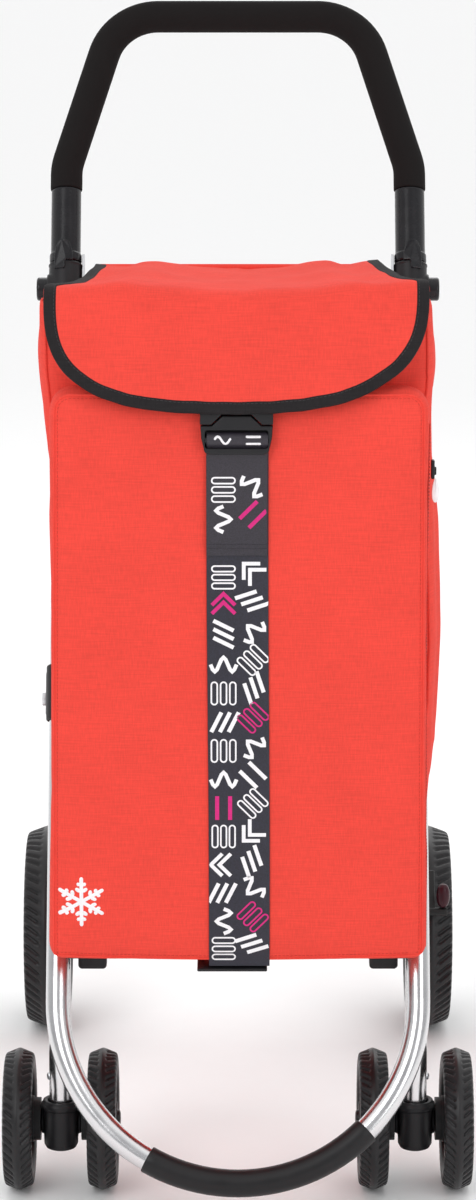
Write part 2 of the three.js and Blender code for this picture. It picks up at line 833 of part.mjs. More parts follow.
const leaning = group(onFloor, 0, bow.y, bow.z, -lean);
place(leaning, 'main_frame', mainFrame(), aluminium);
place(leaning, 'bow_grip', bowGrip(), foam);
const split = group(leaning, 0, 0, splitS);
placePair(split, 'frame_knuckle', frameKnuckle(), plastic);
placePair(split, 'bag_hook', bagHook(), steel);
placePair(split, 'handle_pin', handlePin(), steel);
placePair(group(split, 0, 0, button.s), 'handle_button', handleButton(), plastic);
placePair(split, 'handle_end', handleEnd(), plastic);
place(split, 'handle_tube', handleTube(), darkSteel);
place(split, 'handle_grip', handleGrip(), foam);
const pivotHeight = group(leaning, 0, 0, legPivot.s);
placePair(pivotHeight, 'leg_bracket', legBracket(), plastic);
placePair(group(pivotHeight, 0, legPivot.n, 0), 'leg_bolt', legBolt(), steel);

placePair(onFloor, 'caster_leg', casterLeg(), aluminium);
const swivels = group(onFloor, 0, swivelY, 0);
placePair(swivels, 'caster_stem', casterStem(), steel);
placePair(swivels, 'caster_housing', casterHousing(), plastic);
const frontAxle = group(onFloor, 0, 0, axleZ);
placePair(frontAxle, 'caster_axle', casterAxle(), steel);
const hubInner = housing.half + clearance - frontWheel.offset;
const frontRim = rim(frontWheel, 5, 19, casterAxleRadius, hubInner, frontWheel.half - 0.5);
placePair(frontAxle, 'caster_tyre_outer', tyre(frontWheel), rubber, tubeHalf + frontWheel.offset);
placePair(frontAxle, 'caster_rim_outer', frontRim, plastic, tubeHalf + frontWheel.offset);
const inwardX = tubeHalf - frontWheel.offset;
placePair(frontAxle, 'caster_tyre_inner', tyre(frontWheel), rubber, inwardX);
placePair(frontAxle, 'caster_rim_inner', mirrored(frontRim), plastic, inwardX);

const rearFrame = group(onFloor, 0, pivotY, pivotZ, legTilt);
placePair(rearFrame, 'rear_leg', rearLeg(), aluminium);
placePair(rearFrame, 'rear_leg_foot', legFoot(), plastic);
place(rearFrame, 'rear_crossbar', rearCrossbar(), aluminium);
place(rearFrame, 'rear_axle', rearAxle(), steel);
const brakeSide = group(rearFrame, tubeHalf, 0, 0);
place(brakeSide, 'brake_bracket', brakeBracket(), plastic);
place(brakeSide, 'brake_lever', brakeLever(), darkSteel);
const pedalStand = group(brakeSide, brake.pedal, brake.n, -brake.along, -legTilt);
place(pedalStand, 'brake_pedal', brakePedal(), materials.pedal);
const rearHubs = group(onFloor, 0, rearAxleY, rearWheel.radius);
placePair(rearHubs, 'rear_tyre', tyre(rearWheel), rubber, rearWheel.x);
const rearRim = rim(rearWheel, 6, 22, rearAxleRadius, -rearWheel.half, rearWheel.half - 5);
placePair(rearHubs, 'rear_rim', rearRim, plastic, rearWheel.x);
placePair(rearHubs, 'axle_cap', axleCap(), plastic, rearWheel.x);

place(onFloor, 'bag_rest', bagRestLoop(), darkSteel);
placePair(swivels, 'rest_pad', restPad(), plastic, 127.5);

place(onFloor, 'bag_body', bagBody(), fabric);
place(onFloor, 'bag_base_board', bagBaseBoard(), materials.board);
place(onFloor, 'front_pocket', frontPocket(), fabric);
place(onFloor, 'flap', flap(), fabric);
place(onFloor, 'flap_clip', flapClip(), plastic);
place(onFloor, 'strap_clip', strapClip(), plastic);
place(onFloor, 'bag_strap', bagStrap(), webbing);
place(onFloor, 'zip_slider', zipSlider(), materials.zip);

export default trolley;
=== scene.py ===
import json
import math

import bmesh
import bpy
from mathutils import Matrix, Vector, noise
from mathutils.bvhtree import BVHTree

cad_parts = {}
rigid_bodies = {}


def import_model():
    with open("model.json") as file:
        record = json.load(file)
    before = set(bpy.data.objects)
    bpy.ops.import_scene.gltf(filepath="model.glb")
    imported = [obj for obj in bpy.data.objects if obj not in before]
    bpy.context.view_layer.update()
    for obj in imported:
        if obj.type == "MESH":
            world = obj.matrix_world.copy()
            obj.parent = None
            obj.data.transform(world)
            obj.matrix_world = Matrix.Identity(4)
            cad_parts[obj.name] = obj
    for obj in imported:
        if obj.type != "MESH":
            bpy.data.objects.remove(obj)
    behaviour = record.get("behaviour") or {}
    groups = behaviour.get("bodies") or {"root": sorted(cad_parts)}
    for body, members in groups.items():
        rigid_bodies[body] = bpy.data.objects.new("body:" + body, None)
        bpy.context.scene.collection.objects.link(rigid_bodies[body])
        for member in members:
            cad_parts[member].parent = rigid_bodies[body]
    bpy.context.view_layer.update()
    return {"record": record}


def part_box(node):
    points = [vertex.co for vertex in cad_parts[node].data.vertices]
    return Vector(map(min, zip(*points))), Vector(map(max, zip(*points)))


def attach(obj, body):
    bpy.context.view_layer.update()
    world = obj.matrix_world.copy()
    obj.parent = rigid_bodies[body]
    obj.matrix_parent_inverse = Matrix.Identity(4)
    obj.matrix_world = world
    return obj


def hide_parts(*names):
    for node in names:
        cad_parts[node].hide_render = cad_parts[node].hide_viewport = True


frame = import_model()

MM = 0.001


# ------------------------------------------------------------------ places, from the frame
def middle(node):
    """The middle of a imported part's box."""
    low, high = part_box(node)
    return (low + high) / 2


LEAN = math.radians(25.9)  # the frame's plane, back from upright
FRONT_AXLE = middle("caster_axle_right")
REAR_AXLE = middle("rear_axle")
FRONT_RADIUS = 62.5  # of the wheels, in millimetres
REAR_RADIUS = 100
TUBE_X = middle("caster_leg_right").x
BOW_HEIGHT = 46
BOW = Vector((0, FRONT_AXLE.y - 120 * MM, BOW_HEIGHT * MM))  # lowest point of the frame's centre line
SPLIT = 830.5 * MM  # where the handle parts from the frame, up the plane
BRACKET_UP = 431 * MM  # where the rear legs' brackets sit, up the plane
TUBE_R = 10.25 * MM


def leaning(x, behind, up):
    """A place in the leaning frame: across, behind its plane and up along it."""
    turn = Matrix.Rotation(-LEAN, 3, "X")
    return BOW + turn @ Vector((x, behind, up))


# ------------------------------------------------------------------ camera, light and floor
def add_camera():
    data = bpy.data.cameras.new("camera")
    data.lens = 120
    camera = bpy.data.objects.new("camera", data)
    camera.location = (0, FRONT_AXLE.y - 3.375, 1.25)
    camera.rotation_euler = (math.radians(90 - 12), 0, 0)
    bpy.context.collection.objects.link(camera)
    bpy.context.scene.camera = camera


def add_light(name, place, aim, size, power):
    data = bpy.data.lights.new(name, "AREA")
    data.shape = "RECTANGLE"
    data.size, data.size_y = size
    data.energy = power
    light = bpy.data.objects.new(name, data)
    light.location = place
    light.rotation_euler = (Vector(aim) - Vector(place)).to_track_quat("-Z", "Y").to_euler()
    bpy.context.collection.objects.link(light)


def add_studio():
    world = bpy.data.worlds.new("studio")
    world.use_nodes = True
    sky = world.node_tree.nodes["Background"]
    sky.inputs["Strength"].default_value = 1.13
    spread = world.node_tree.nodes.new("ShaderNodeTexCoord")
    tilt = world.node_tree.nodes.new("ShaderNodeVectorMath")
    tilt.operation = "DOT_PRODUCT"
    tilt.inputs[1].default_value = (0, 0.6, 0.8)
    ramp = world.node_tree.nodes.new("ShaderNodeValToRGB")
    world.node_tree.links.new(spread.outputs["Generated"], tilt.inputs[0])
    world.node_tree.links.new(tilt.outputs["Value"], ramp.inputs["Fac"])
    world.node_tree.links.new(ramp.outputs["Color"], sky.inputs["Color"])
    ramp.color_ramp.elements[0].color = (0.36, 0.36, 0.37, 1)
    ramp.color_ramp.elements[1].position = 0.5
    ramp.color_ramp.elements[1].color = (1, 1, 1, 1)
    bpy.context.scene.world = world
    bpy.context.scene.view_settings.view_transform = "Standard"
    target = (0, -0.1, 0.5)
    add_light("key", (-1.6, -3.0, 2.4), target, (1.5, 1.9), 43)
    add_light("fill", (1.9, -2.6, 1.6), target, (1.2, 2.2), 21)
    add_light("back", (0.5, 2.6, 2.4), target, (2.0, 1.6), 16)
    reach = 60
    corners = [(-reach, -reach, 0), (reach, -reach, 0), (reach, reach, 0), (-reach, reach, 0)]
    floor = plain_mesh("floor", corners, [(0, 1, 2, 3)])
    floor.data.materials.append(floor_material())


# ------------------------------------------------------------------ material nodes
class Paint:
    """A material in the making: its shader and the nodes that feed it."""

    def __init__(self, name, color, roughness, metallic=0.0, specular=0.5):
        self.material = bpy.data.materials.new(name)
        self.material.use_nodes = True
        self.tree = self.material.node_tree
        self.shader = self.tree.nodes["Principled BSDF"]
        self.shader.inputs["Base Color"].default_value = (*color, 1)
        self.shader.inputs["Roughness"].default_value = roughness
        self.shader.inputs["Metallic"].default_value = metallic
        self.shader.inputs["Specular IOR Level"].default_value = specular
        coordinates = self.node("ShaderNodeTexCoord")
        self.place = coordinates.outputs["Object"]
        self.facing = coordinates.outputs["Normal"]

    def node(self, kind, **values):
        """A new node; each value goes to its setting of that name, or else to its socket."""
        made = self.tree.nodes.new(kind)
        for key, value in values.items():
            if hasattr(made, key):
                setattr(made, key, value)
            else:
                self.feed(value, made.inputs[key.replace("_", " ")])
        return made

    def feed(self, value, socket):
        """Gives a socket a constant or another node's output."""
        if isinstance(value, bpy.types.NodeSocket):
            self.tree.links.new(value, socket)
        else:
            socket.default_value = value

    def split(self, vector):
        return self.node("ShaderNodeSeparateXYZ", Vector=vector).outputs

    def noise(self, scale, detail=2.0):
        made = self.node("ShaderNodeTexNoise", Scale=scale, Detail=detail, Roughness=0.5)
        self.feed(self.place, made.inputs["Vector"])
        return made.outputs["Fac"]

    def stretched_noise(self, place, scale, detail):
        """Noise drawn out into threads or streaks: a scale for each direction."""
        mapping = self.node("ShaderNodeMapping", Vector=place, Scale=scale)
        made = self.node("ShaderNodeTexNoise", Scale=1.0, Detail=detail, Roughness=0.5)
        self.feed(mapping.outputs["Vector"], made.inputs["Vector"])
        return made.outputs["Fac"]

    def math(self, operation, first, second=0.0):
        made = self.node("ShaderNodeMath", operation=operation)
        self.feed(first, made.inputs[0])
        self.feed(second, made.inputs[1])
        return made.outputs["Value"]

    def blend(self, first, first_share, second, second_share):
        """The sum of two values, each times its share."""
        return self.math("ADD", self.math("MULTIPLY", first, first_share),
                         self.math("MULTIPLY", second, second_share))

    def wave(self, value, rate):
        return self.math("SINE", self.math("MULTIPLY", value, rate))

    def above(self, value, limit):
        """1 where the value's size is past the limit, 0 elsewhere."""
        return self.math("GREATER_THAN", self.math("ABSOLUTE", value), limit)

    def choice(self, share, first, second):
        return self.node("ShaderNodeMix", Factor=share, A=first, B=second).outputs["Result"]

    def remap(self, value, low, high, to_low, to_high):
        made = self.node("ShaderNodeMapRange", From_Min=low, From_Max=high, To_Min=to_low, To_Max=to_high)
        self.feed(value, made.inputs["Value"])
        return made.outputs["Result"]

    def tint(self, share, dark, light):
        """Base colour that runs from dark to light with share."""
        ramp = self.node("ShaderNodeValToRGB", Fac=share)
        ramp.color_ramp.elements[0].color = (*dark, 1)
        ramp.color_ramp.elements[1].color = (*light, 1)
        self.feed(ramp.outputs["Color"], self.shader.inputs["Base Color"])

    def bump(self, height, strength, distance):
        made = self.node("ShaderNodeBump", Strength=strength, Distance=distance, Height=height)
        self.feed(made.outputs["Normal"], self.shader.inputs["Normal"])

    def rough(self, value, low, high):
        """Roughness that runs from low to high with the middle part of a noise."""
        self.feed(self.remap(value, 0.3, 0.7, low, high), self.shader.inputs["Roughness"])


def scaled(color, share):
    return tuple(min(1.0, part * share) for part in color)


# ------------------------------------------------------------------ materials
def floor_material():
    paint = Paint("floor", (0.9, 0.9, 0.9), 0.7)
    paint.tint(paint.noise(40), (0.94, 0.94, 0.94), (0.96, 0.96, 0.96))
    return paint.material


def fabric_material(name, color, heather=0.12, weave=1300.0, shine=0.08):
    """Woven polyester: slubbed threads both ways, a fine weave and a soft sheen."""
    paint = Paint(name, color, 0.82, specular=0.15)
    x, y, z = paint.split(paint.place)
    facing = paint.split(paint.facing)
    across = paint.choice(paint.above(facing["X"], 0.7), x, y)
    along = paint.choice(paint.above(facing["Z"], 0.7), z, y)
    flat = paint.node("ShaderNodeCombineXYZ", X=across, Y=along).outputs["Vector"]
    weft = paint.stretched_noise(flat, (45, 800, 1), 3.0)
    warp = paint.stretched_noise(flat, (900, 110, 1), 3.0)
    threads = paint.blend(weft, 0.5, warp, 0.5)
    share = paint.blend(threads, 0.8, paint.noise(22.0, 3.0), 0.2)
    share = paint.remap(share, 0.34, 0.66, 0.0, 1.0)
    paint.tint(share, scaled(color, 1 - heather), scaled(color, 1 + heather))
    ridges = [paint.math("ABSOLUTE", paint.wave(way, weave * math.pi)) for way in (across, along)]
    paint.bump(paint.blend(paint.math("MAXIMUM", *ridges), 1.0, threads, 1.5), 0.35, 0.0004)
    paint.shader.inputs["Sheen Weight"].default_value = shine
    paint.shader.inputs["Sheen Roughness"].default_value = 0.5
    paint.shader.inputs["Sheen Tint"].default_value = (*scaled(color, 1.3), 1)
    return paint.material


def foam_material(name, color, cell=1600.0):
    """Fine closed-cell foam: tiny pits and slow patches of wear."""
    paint = Paint(name, color, 0.8, specular=0.12)
    cells = paint.node("ShaderNodeTexVoronoi", Scale=cell, Vector=paint.place)
    patches = paint.noise(60.0, 4.0)
    paint.tint(patches, scaled(color, 0.8), scaled(color, 1.35))
    paint.bump(paint.blend(cells.outputs["Distance"], 1.0, patches, 2.0), 0.3, 0.0005)
    paint.rough(patches, 0.82, 0.95)
    return paint.material


def plastic_material(name, color, roughness=0.42, grain=2200.0):
    """Moulded plastic: spark-eroded grain, slight patchiness and rubbed high spots."""
    paint = Paint(name, color, roughness, specular=0.3)
    patches = paint.noise(90.0, 3.0)
    paint.tint(patches, scaled(color, 0.85), scaled(color, 1.25))
    paint.bump(paint.noise(grain), 0.12, 0.0002)
    paint.rough(patches, roughness - 0.06, roughness + 0.08)
    return paint.material


def aluminium_material():
    """Satin anodised tube with faint drawing marks and handling smudges."""
    paint = Paint("satin_aluminium", (0.74, 0.74, 0.75), 0.3, metallic=1.0)
    drawn = paint.stretched_noise(paint.place, (900, 900, 6), 2.0)
    smudges = paint.noise(35.0, 4.0)
    paint.tint(smudges, (0.66, 0.66, 0.67), (0.76, 0.76, 0.77))
    rough = paint.math("ADD", paint.remap(smudges, 0.3, 0.7, 0.17, 0.26),
                       paint.remap(drawn, 0.3, 0.7, 0.0, 0.02))
    paint.feed(rough, paint.shader.inputs["Roughness"])
    return paint.material


def steel_material(name, color, roughness):
    """Zinc-plated steel, mottled."""
    paint = Paint(name, color, roughness, metallic=1.0)
    marks = paint.noise(220.0, 4.0)
    paint.tint(marks, scaled(color, 0.85), scaled(color, 1.1))
    paint.rough(marks, roughness - 0.05, roughness + 0.12)
    return paint.material


def rubber_material(name, color):
    """Tyre rubber: dull, dusty in patches and finely pitted."""
    paint = Paint(name, color, 0.5, specular=0.36)
    dust = paint.noise(55.0, 5.0)
    paint.tint(dust, scaled(color, 0.75), scaled(color, 1.5))
    paint.rough(dust, 0.34, 0.5)
    paint.bump(paint.noise(1500.0), 0.15, 0.0003)
    return paint.material


def webbing_material(name, color, shine):
    """Tight twill webbing: diagonal ribs and a slight gloss."""
    paint = Paint(name, color, 0.5, specular=0.5)
    x, _, z = paint.split(paint.place)
    ribs = paint.wave(paint.math("ADD", x, z), 5200.0)
    speckle = paint.noise(900.0)
    paint.tint(paint.remap(speckle, 0.35, 0.65, 0.0, 1.0), scaled(color, 0.7), scaled(color, 1.4))
    paint.bump(paint.math("ADD", ribs, paint.wave(z, 7000.0)), 0.2, 0.0002)
    paint.rough(speckle, shine - 0.05, shine + 0.12)
    return paint.material


RED = (0.77, 0.064, 0.0455)
materials = {}


def make_materials():
    black = (0.011, 0.0105, 0.012)
    materials.update({
        "red": fabric_material("red_fabric", RED),
        "binding": fabric_material("black_binding", (0.018, 0.016, 0.017), 0.25, 1500.0, 0.03),
        "thread": fabric_material("black_thread", (0.05, 0.046, 0.048), 0.2),
        "red_thread": fabric_material("red_thread", scaled(RED, 0.75), 0.1),
        "webbing": webbing_material("navy_webbing", (0.012, 0.011, 0.022), 0.38),
        "charcoal": webbing_material("charcoal_webbing", (0.022, 0.018, 0.026), 0.5),
        "print": fabric_material("white_print", (0.85, 0.83, 0.85), 0.05),
        "pink_print": fabric_material("pink_print", (0.62, 0.03, 0.2), 0.1),
        "foam": foam_material("handle_foam", (0.011, 0.0095, 0.0095)),
        "grip": plastic_material("grip_rubber", (0.0105, 0.010, 0.011), 0.42),
        "plastic": plastic_material("black_plastic", black),
        "gloss": plastic_material("arm_plastic", (0.01, 0.01, 0.012), 0.25),
        "rim": plastic_material("rim_plastic", (0.008, 0.008, 0.009), 0.5),
        "tyre": rubber_material("tyre_rubber", (0.0105, 0.010, 0.011)),
        "aluminium": aluminium_material(),
        "steel": steel_material("zinc_steel", (0.62, 0.63, 0.65), 0.3),
        "black_steel": plastic_material("black_steel", (0.01, 0.01, 0.01), 0.35, 900.0),
        "board": plastic_material("base_board", (0.015, 0.015, 0.016), 0.6, 500.0),
        "pedal": plastic_material("pedal_plastic", (0.035, 0.004, 0.009), 0.3),
        "zip": plastic_material("zip_enamel", (0.75, 0.74, 0.75), 0.3),
    })


# ------------------------------------------------------------------ mesh making
def plain_mesh(name, vertices, faces):
    mesh = bpy.data.meshes.new(name)
    mesh.from_pydata([tuple(v) for v in vertices], [], faces)
    made = bpy.data.objects.new(name, mesh)
    bpy.context.collection.objects.link(made)
    return made


def tidy_normals(piece, smooth=35.0):
    shape = bmesh.new()
    shape.from_mesh(piece.data)
    bmesh.ops.remove_doubles(shape, verts=shape.verts, dist=1e-6)
    bmesh.ops.recalc_face_normals(shape, faces=shape.faces)
    shape.to_mesh(piece.data)
    shape.free()
    piece.data.shade_smooth()
    piece.data.set_sharp_from_angle(angle=math.radians(smooth))
    return piece


def solid(name, parts, smooth=35.0):
    """One object from closed parts, each a list of vertices and a list of faces."""
    vertices, faces = [], []
    for part_vertices, part_faces in parts:
        start = len(vertices)
        vertices += part_vertices
        faces += [tuple(start + i for i in face) for face in part_faces]
    return tidy_normals(plain_mesh(name, vertices, faces), smooth)


def baked(piece):
    """Applies the piece's modifiers to its mesh."""
    evaluated = piece.evaluated_get(bpy.context.evaluated_depsgraph_get())
    mesh = bpy.data.meshes.new_from_object(evaluated)
    piece.modifiers.clear()
    old = piece.data
    piece.data = mesh
    bpy.data.meshes.remove(old)
    return piece


def fused(name, parts, cuts=(), smooth=35.0):
    """The union of closed parts, less the cuts, as one clean skin."""
    base = solid(name, [parts[0]])
    tools = [("UNION", part) for part in parts[1:]] + [("DIFFERENCE", part) for part in cuts]
    for operation, part in tools:
        other = solid("tool", [part])
        modifier = base.modifiers.new("join", "BOOLEAN")
        modifier.operation = operation
        modifier.solver = "EXACT"
        modifier.object = other
        baked(base)
        bpy.data.objects.remove(other)
    return tidy_normals(base, smooth)


def moulded(piece, voxel, relax):
    """Rounds every edge as a moulding does: a fine remesh, then relaxed."""
    remesh = piece.modifiers.new("remesh", "REMESH")
    remesh.mode = "VOXEL"
    remesh.voxel_size = voxel
    soften = piece.modifiers.new("soften", "SMOOTH")
    soften.factor = 0.5
    soften.iterations = relax
    baked(piece)
    piece.data.shade_smooth()
    return piece


def finished(piece, material, body, slot, *nodes):
    piece.data.materials.clear()
    piece.data.materials.append(materials[material])
    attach(piece, body)
    if nodes:
        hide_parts(*nodes)
    return piece


def rings(loops, closed=False):
    """Skins rings of equal length, with a cap on each end unless the rings close up."""
    count = len(loops[0])
    vertices = [Vector(p) for loop in loops for p in loop]
    faces = []
    for i in range(len(loops) if closed else len(loops) - 1):
        here, there = i * count, (i + 1) % len(loops) * count
        for j in range(count):
            k = (j + 1) % count
            faces.append((here + j, here + k, there + k, there + j))
    if not closed:
        faces.append(tuple(range(count)))
        faces.append(tuple(range((len(loops) - 1) * count, len(loops) * count)))
    return vertices, faces


def direction(path, i, reach=1):
    """The way a path runs at its i-th place."""
    return (path[min(i + reach, len(path) - 1)] - path[max(i - reach, 0)]).normalized()


def frames_along(path):
    """A turning pair of cross directions at each point of a path, carried along it."""
    tangents = [direction(path, i) for i in range(len(path))]
    side = tangents[0].orthogonal().normalized()
    pairs = []
    for tangent in tangents:
        side = (side - tangent * side.dot(tangent)).normalized()
        pairs.append((side, tangent.cross(side)))
    return pairs


def circle(place, pair, radius, sides):
    """A ring round a place, in the plane of a pair of directions."""
    u, v = pair
    turns = [2 * math.pi * i / sides for i in range(sides)]
    return [place + u * (radius * math.cos(a)) + v * (radius * math.sin(a)) for a in turns]


def rounding(edge, steps=3):
    """A rounded rim as (distance in from the end, amount taken off), from its start to the end."""
    turns = [math.pi / 2 * i / steps for i in range(steps + 1)]
    return [(edge * (1 - math.sin(a)), edge * (1 - math.cos(a))) for a in turns]


def tube(path, radius, sides=32, edge=0.0):
    """A round bar along a path, its ends rounded off by edge."""
    path = [Vector(p) for p in path]
    start, end = path[0], path[-1]
    stations = [(p, pair, radius) for p, pair in zip(path, frames_along(path))]
    if edge:
        first = (path[1] - start).normalized()
        last = (end - path[-2]).normalized()
        head = [(start + first * by, stations[0][1], radius - less) for by, less in reversed(rounding(edge))]
        tail = [(end - last * by, stations[-1][1], radius - less) for by, less in rounding(edge)]
        inner = [s for s in stations[1:-1] if min((s[0] - start).length, (s[0] - end).length) > edge]
        stations = head + inner + tail
    return rings([circle(place, pair, r, sides) for place, pair, r in stations])


def pipe(path, outer, inner, sides=48):
    """A hollow bar along a path."""
    stations = list(zip(path, frames_along(path)))
    outside = [circle(place, pair, outer, sides) for place, pair in stations]
    inside = [circle(place, pair, inner, sides) for place, pair in reversed(stations)]
    return rings(outside + inside, closed=True)


def bent(corners, radii, step=5.0):
    """A path straight between corners that turns each inner corner on an arc."""
    path = [corners[0]]
    for i, radius in enumerate(radii):
        corner = corners[i + 1]
        back = (corners[i] - corner).normalized()
        ahead = (corners[i + 2] - corner).normalized()
        turn = math.pi - back.angle(ahead)
        centre = corner + (back + ahead).normalized() * (radius / math.cos(turn / 2))
        reach = radius * math.tan(turn / 2)
        start, end = corner + back * reach - centre, corner + ahead * reach - centre
        axis = start.cross(end).normalized()
        steps = max(2, round(math.degrees(turn) / step))
        path += [Matrix.Rotation(turn * s / steps, 3, axis) @ start + centre for s in range(steps + 1)]
    path.append(corners[-1])
    return path


def filled(path, gap):
    """The path with points added so that none are further apart than gap."""
    result = [path[0]]
    for here, there in zip(path, path[1:]):
        count = max(1, math.ceil((there - here).length / gap))
        result += [here.lerp(there, i / count) for i in range(1, count + 1)]
    return result


def turned(profile, centre, axis="Z", sides=64, hollow=False):
    """A lathed body: profile points are (radius, place along the axis), capped unless hollow."""
    centre = Vector(centre)
    along = {"X": Vector((1, 0, 0)), "Y": Vector((0, 1, 0)), "Z": Vector((0, 0, 1))}[axis]
    side = Vector((0, 1, 0)) if axis == "X" else Vector((1, 0, 0))
    other = along.cross(side)
    outs = []
    for i in range(sides):
        turn = 2 * math.pi * i / sides
        outs.append(side * math.cos(turn) + other * math.sin(turn))
    loops = [[centre + out * r + along * h for out in outs] for r, h in profile]
    return rings(loops, closed=hollow)


def arc(u, v, radius, start, end, steps=6):
    """Places on an arc about (u, v), between two angles in degrees."""
    turns = [math.radians(start + (end - start) * i / steps) for i in range(steps + 1)]
    return [(u + radius * math.cos(a), v + radius * math.sin(a)) for a in turns]


def rounded(low, high, radius, steps=6):
    """The outline of a rectangle with round corners."""
    (u0, v0), (u1, v1) = low, high
    return (arc(u1 - radius, v0 + radius, radius, -90, 0, steps)
            + arc(u1 - radius, v1 - radius, radius, 0, 90, steps)
            + arc(u0 + radius, v1 - radius, radius, 90, 180, steps)
            + arc(u0 + radius, v0 + radius, radius, 180, 270, steps))


def slab(outline, axis, span, edge=0.0):
    """An outline given thickness along an axis, its two rims rounded by edge.

    The outline is (y, z) for X, (x, z) for Y and (x, y) for Z."""
    at = {
        "X": lambda u, v, w: Vector((w, u, v)),
        "Y": lambda u, v, w: Vector((u, w, v)),
        "Z": lambda u, v, w: Vector((u, v, w)),
    }[axis]
    low, high = span
    levels = [(low, 0.0), (high, 0.0)]
    if edge:
        levels = [(low + by, less) for by, less in reversed(rounding(edge))]
        levels += [(high - by, less) for by, less in rounding(edge)]
    return rings([[at(u, v, w) for u, v in inset(outline, by)] for w, by in levels])


def inset(outline, by):
    """The outline moved inward by a distance, corner by corner."""
    if not by:
        return list(outline)
    area = sum(a[0] * b[1] - b[0] * a[1] for a, b in zip(outline, outline[1:] + outline[:1]))
    sign = 1 if area > 0 else -1
    result = []
    for i, (u, v) in enumerate(outline):
        here = Vector((u, v))
        first = here - Vector(outline[i - 1])
        second = Vector(outline[(i + 1) % len(outline)]) - here
        if first.length < 1e-9:
            first = here - Vector(outline[i - 2])
        if second.length < 1e-9:
            second = Vector(outline[(i + 2) % len(outline)]) - here
        one = Vector((-first.y, first.x)).normalized() * sign
        two = Vector((-second.y, second.x)).normalized() * sign
        both = (one + two).normalized()
        share = max(0.4, both.dot(one))
        result.append(tuple(here + both * (by / share)))
    return result


def smoothstep(low, high, value):
    share = min(1.0, max(0.0, (value - low) / (high - low)))
    return share * share * (3 - 2 * share)


def curve_through(points, count):
    """Places on a smooth curve through the points, count of them from each point to the next."""
    path = []
    ends_doubled = [points[0], *points, points[-1]]
    for i in range(len(points) - 1):
        a, b, c, d = (Vector(p) for p in ends_doubled[i:i + 4])
        for j in range(count):
            t = j / count
            path.append(0.5 * (2 * b + (c - a) * t + (2 * a - 5 * b + 4 * c - d) * t ** 2
                               + (3 * b - a - 3 * c + d) * t ** 3))
    path.append(Vector(points[-1]))
    return path


# ------------------------------------------------------------------ frame tubes
def add_main_frame():
    top = SPLIT - 8 * MM
    corners = [leaning(x, 0, up) for x, up in ((-TUBE_X, top), (-TUBE_X, 0), (TUBE_X, 0), (TUBE_X, top))]
    path = filled(bent(corners, [TUBE_X, TUBE_X], 3), 40 * MM)
    piece = solid("frame_tube", [tube(path, TUBE_R, 48)])
    finished(piece, "aluminium", "frame", "aluminium_tube", "main_frame")


def add_bow_grip():
    path = []
    for degrees in range(-30, 46, 3):
        turn = math.radians(degrees)
        path.append(leaning(TUBE_X * math.sin(turn), 0, TUBE_X * (1 - math.cos(turn))))
    piece = solid("bow_sleeve", [tube(path, 11.9 * MM, 48, 1.2 * MM)])
    finished(piece, "grip", "frame", "handle_foam", "bow_grip")


def handle_path(start):
    """The handle's loop, from start above the split on the left round to the same place on the right."""
    foot, knee, top = SPLIT + start, SPLIT + 93 * MM, SPLIT + 240 * MM
    corner, turn_low, turn_high = 112 * MM, 50 * MM, 52 * MM
    corners = [leaning(-TUBE_X, 0, foot), leaning(-TUBE_X, 0, knee), leaning(-corner, 0, top),
               leaning(corner, 0, top), leaning(TUBE_X, 0, knee), leaning(TUBE_X, 0, foot)]
    return filled(bent(corners, [turn_low, turn_high, turn_high, turn_low], 5), 20 * MM)


def add_handle_grip():
    piece = solid("handle_foam_loop", [tube(handle_path(70.3 * MM), 14.5 * MM, 56, 1.4 * MM)])
    finished(piece, "foam", "handle", "handle_foam", "handle_grip", "handle_tube")


# ------------------------------------------------------------------ parts drawn in millimetres
def on_plane(x, up):
    """Where a part drawn about a frame tube, a way up it, goes in the scene."""
    return Matrix.Translation(leaning(x, 0, up)) @ Matrix.Rotation(-LEAN, 4, "X")


def upright(x, y, z):
    return Matrix.Translation((x, y, z))


def set_down(part, place):
    vertices, faces = part
    return [place @ (Vector(v) * MM) for v in vertices], faces


def set_all(parts, place):
    return [set_down(part, place) for part in parts]


def cast(name, place, parts, cuts, voxel, relax):
    """A moulding: parts drawn in millimetres about a place, joined, cut, and rounded off all over."""
    piece = fused(name, set_all(parts, place), set_all(cuts, place))
    return moulded(piece, voxel * MM, relax)


def rod(axis, radius, span, across=0.0, along=0.0, edge=0.0, sides=48):
    """A cylinder; across and along are the two other coordinates of its axis, in order."""
    low, high = span
    centre = {"X": (0, across, along), "Y": (across, 0, along), "Z": (across, along, 0)}[axis]
    profile = [(radius, low), (radius, high)]
    if edge:
        down = [(radius - edge + u, low + edge + v) for u, v in arc(0, 0, edge, -90, 0, 4)]
        up = [(radius - edge + u, high - edge + v) for u, v in arc(0, 0, edge, 0, 90, 4)]
        profile = down + up
    return turned(profile, centre, axis, sides)


def block(low, high, edge=1.0, axis="Z"):
    """A box with rounded edges, most of all those along an axis; low and high are its two corners."""
    along = "XYZ".index(axis)
    first, second = [i for i in range(3) if i != along]
    outline = rounded((low[first], low[second]), (high[first], high[second]), edge * 1.2 + 0.01)
    return slab(outline, axis, (low[along], high[along]), edge)


def mirrored_copy(piece, name):
    mesh = piece.data.copy()
    mesh.transform(Matrix.Diagonal((-1, 1, 1, 1)))
    mesh.flip_normals()
    made = bpy.data.objects.new(name, mesh)
    bpy.context.collection.objects.link(made)
    return made


def add_pair(piece, material, body, slot, stem=None):
    """Finishes a right-hand piece and its mirror image; {} in the body's name is the side."""
    base = piece.name.removesuffix("_right")
    left = mirrored_copy(piece, f"{base}_left")
    for side, made in (("right", piece), ("left", left)):
        nodes = [f"{stem}_{side}"] if stem else []
        finished(made, material, body.format(side), slot, *nodes)


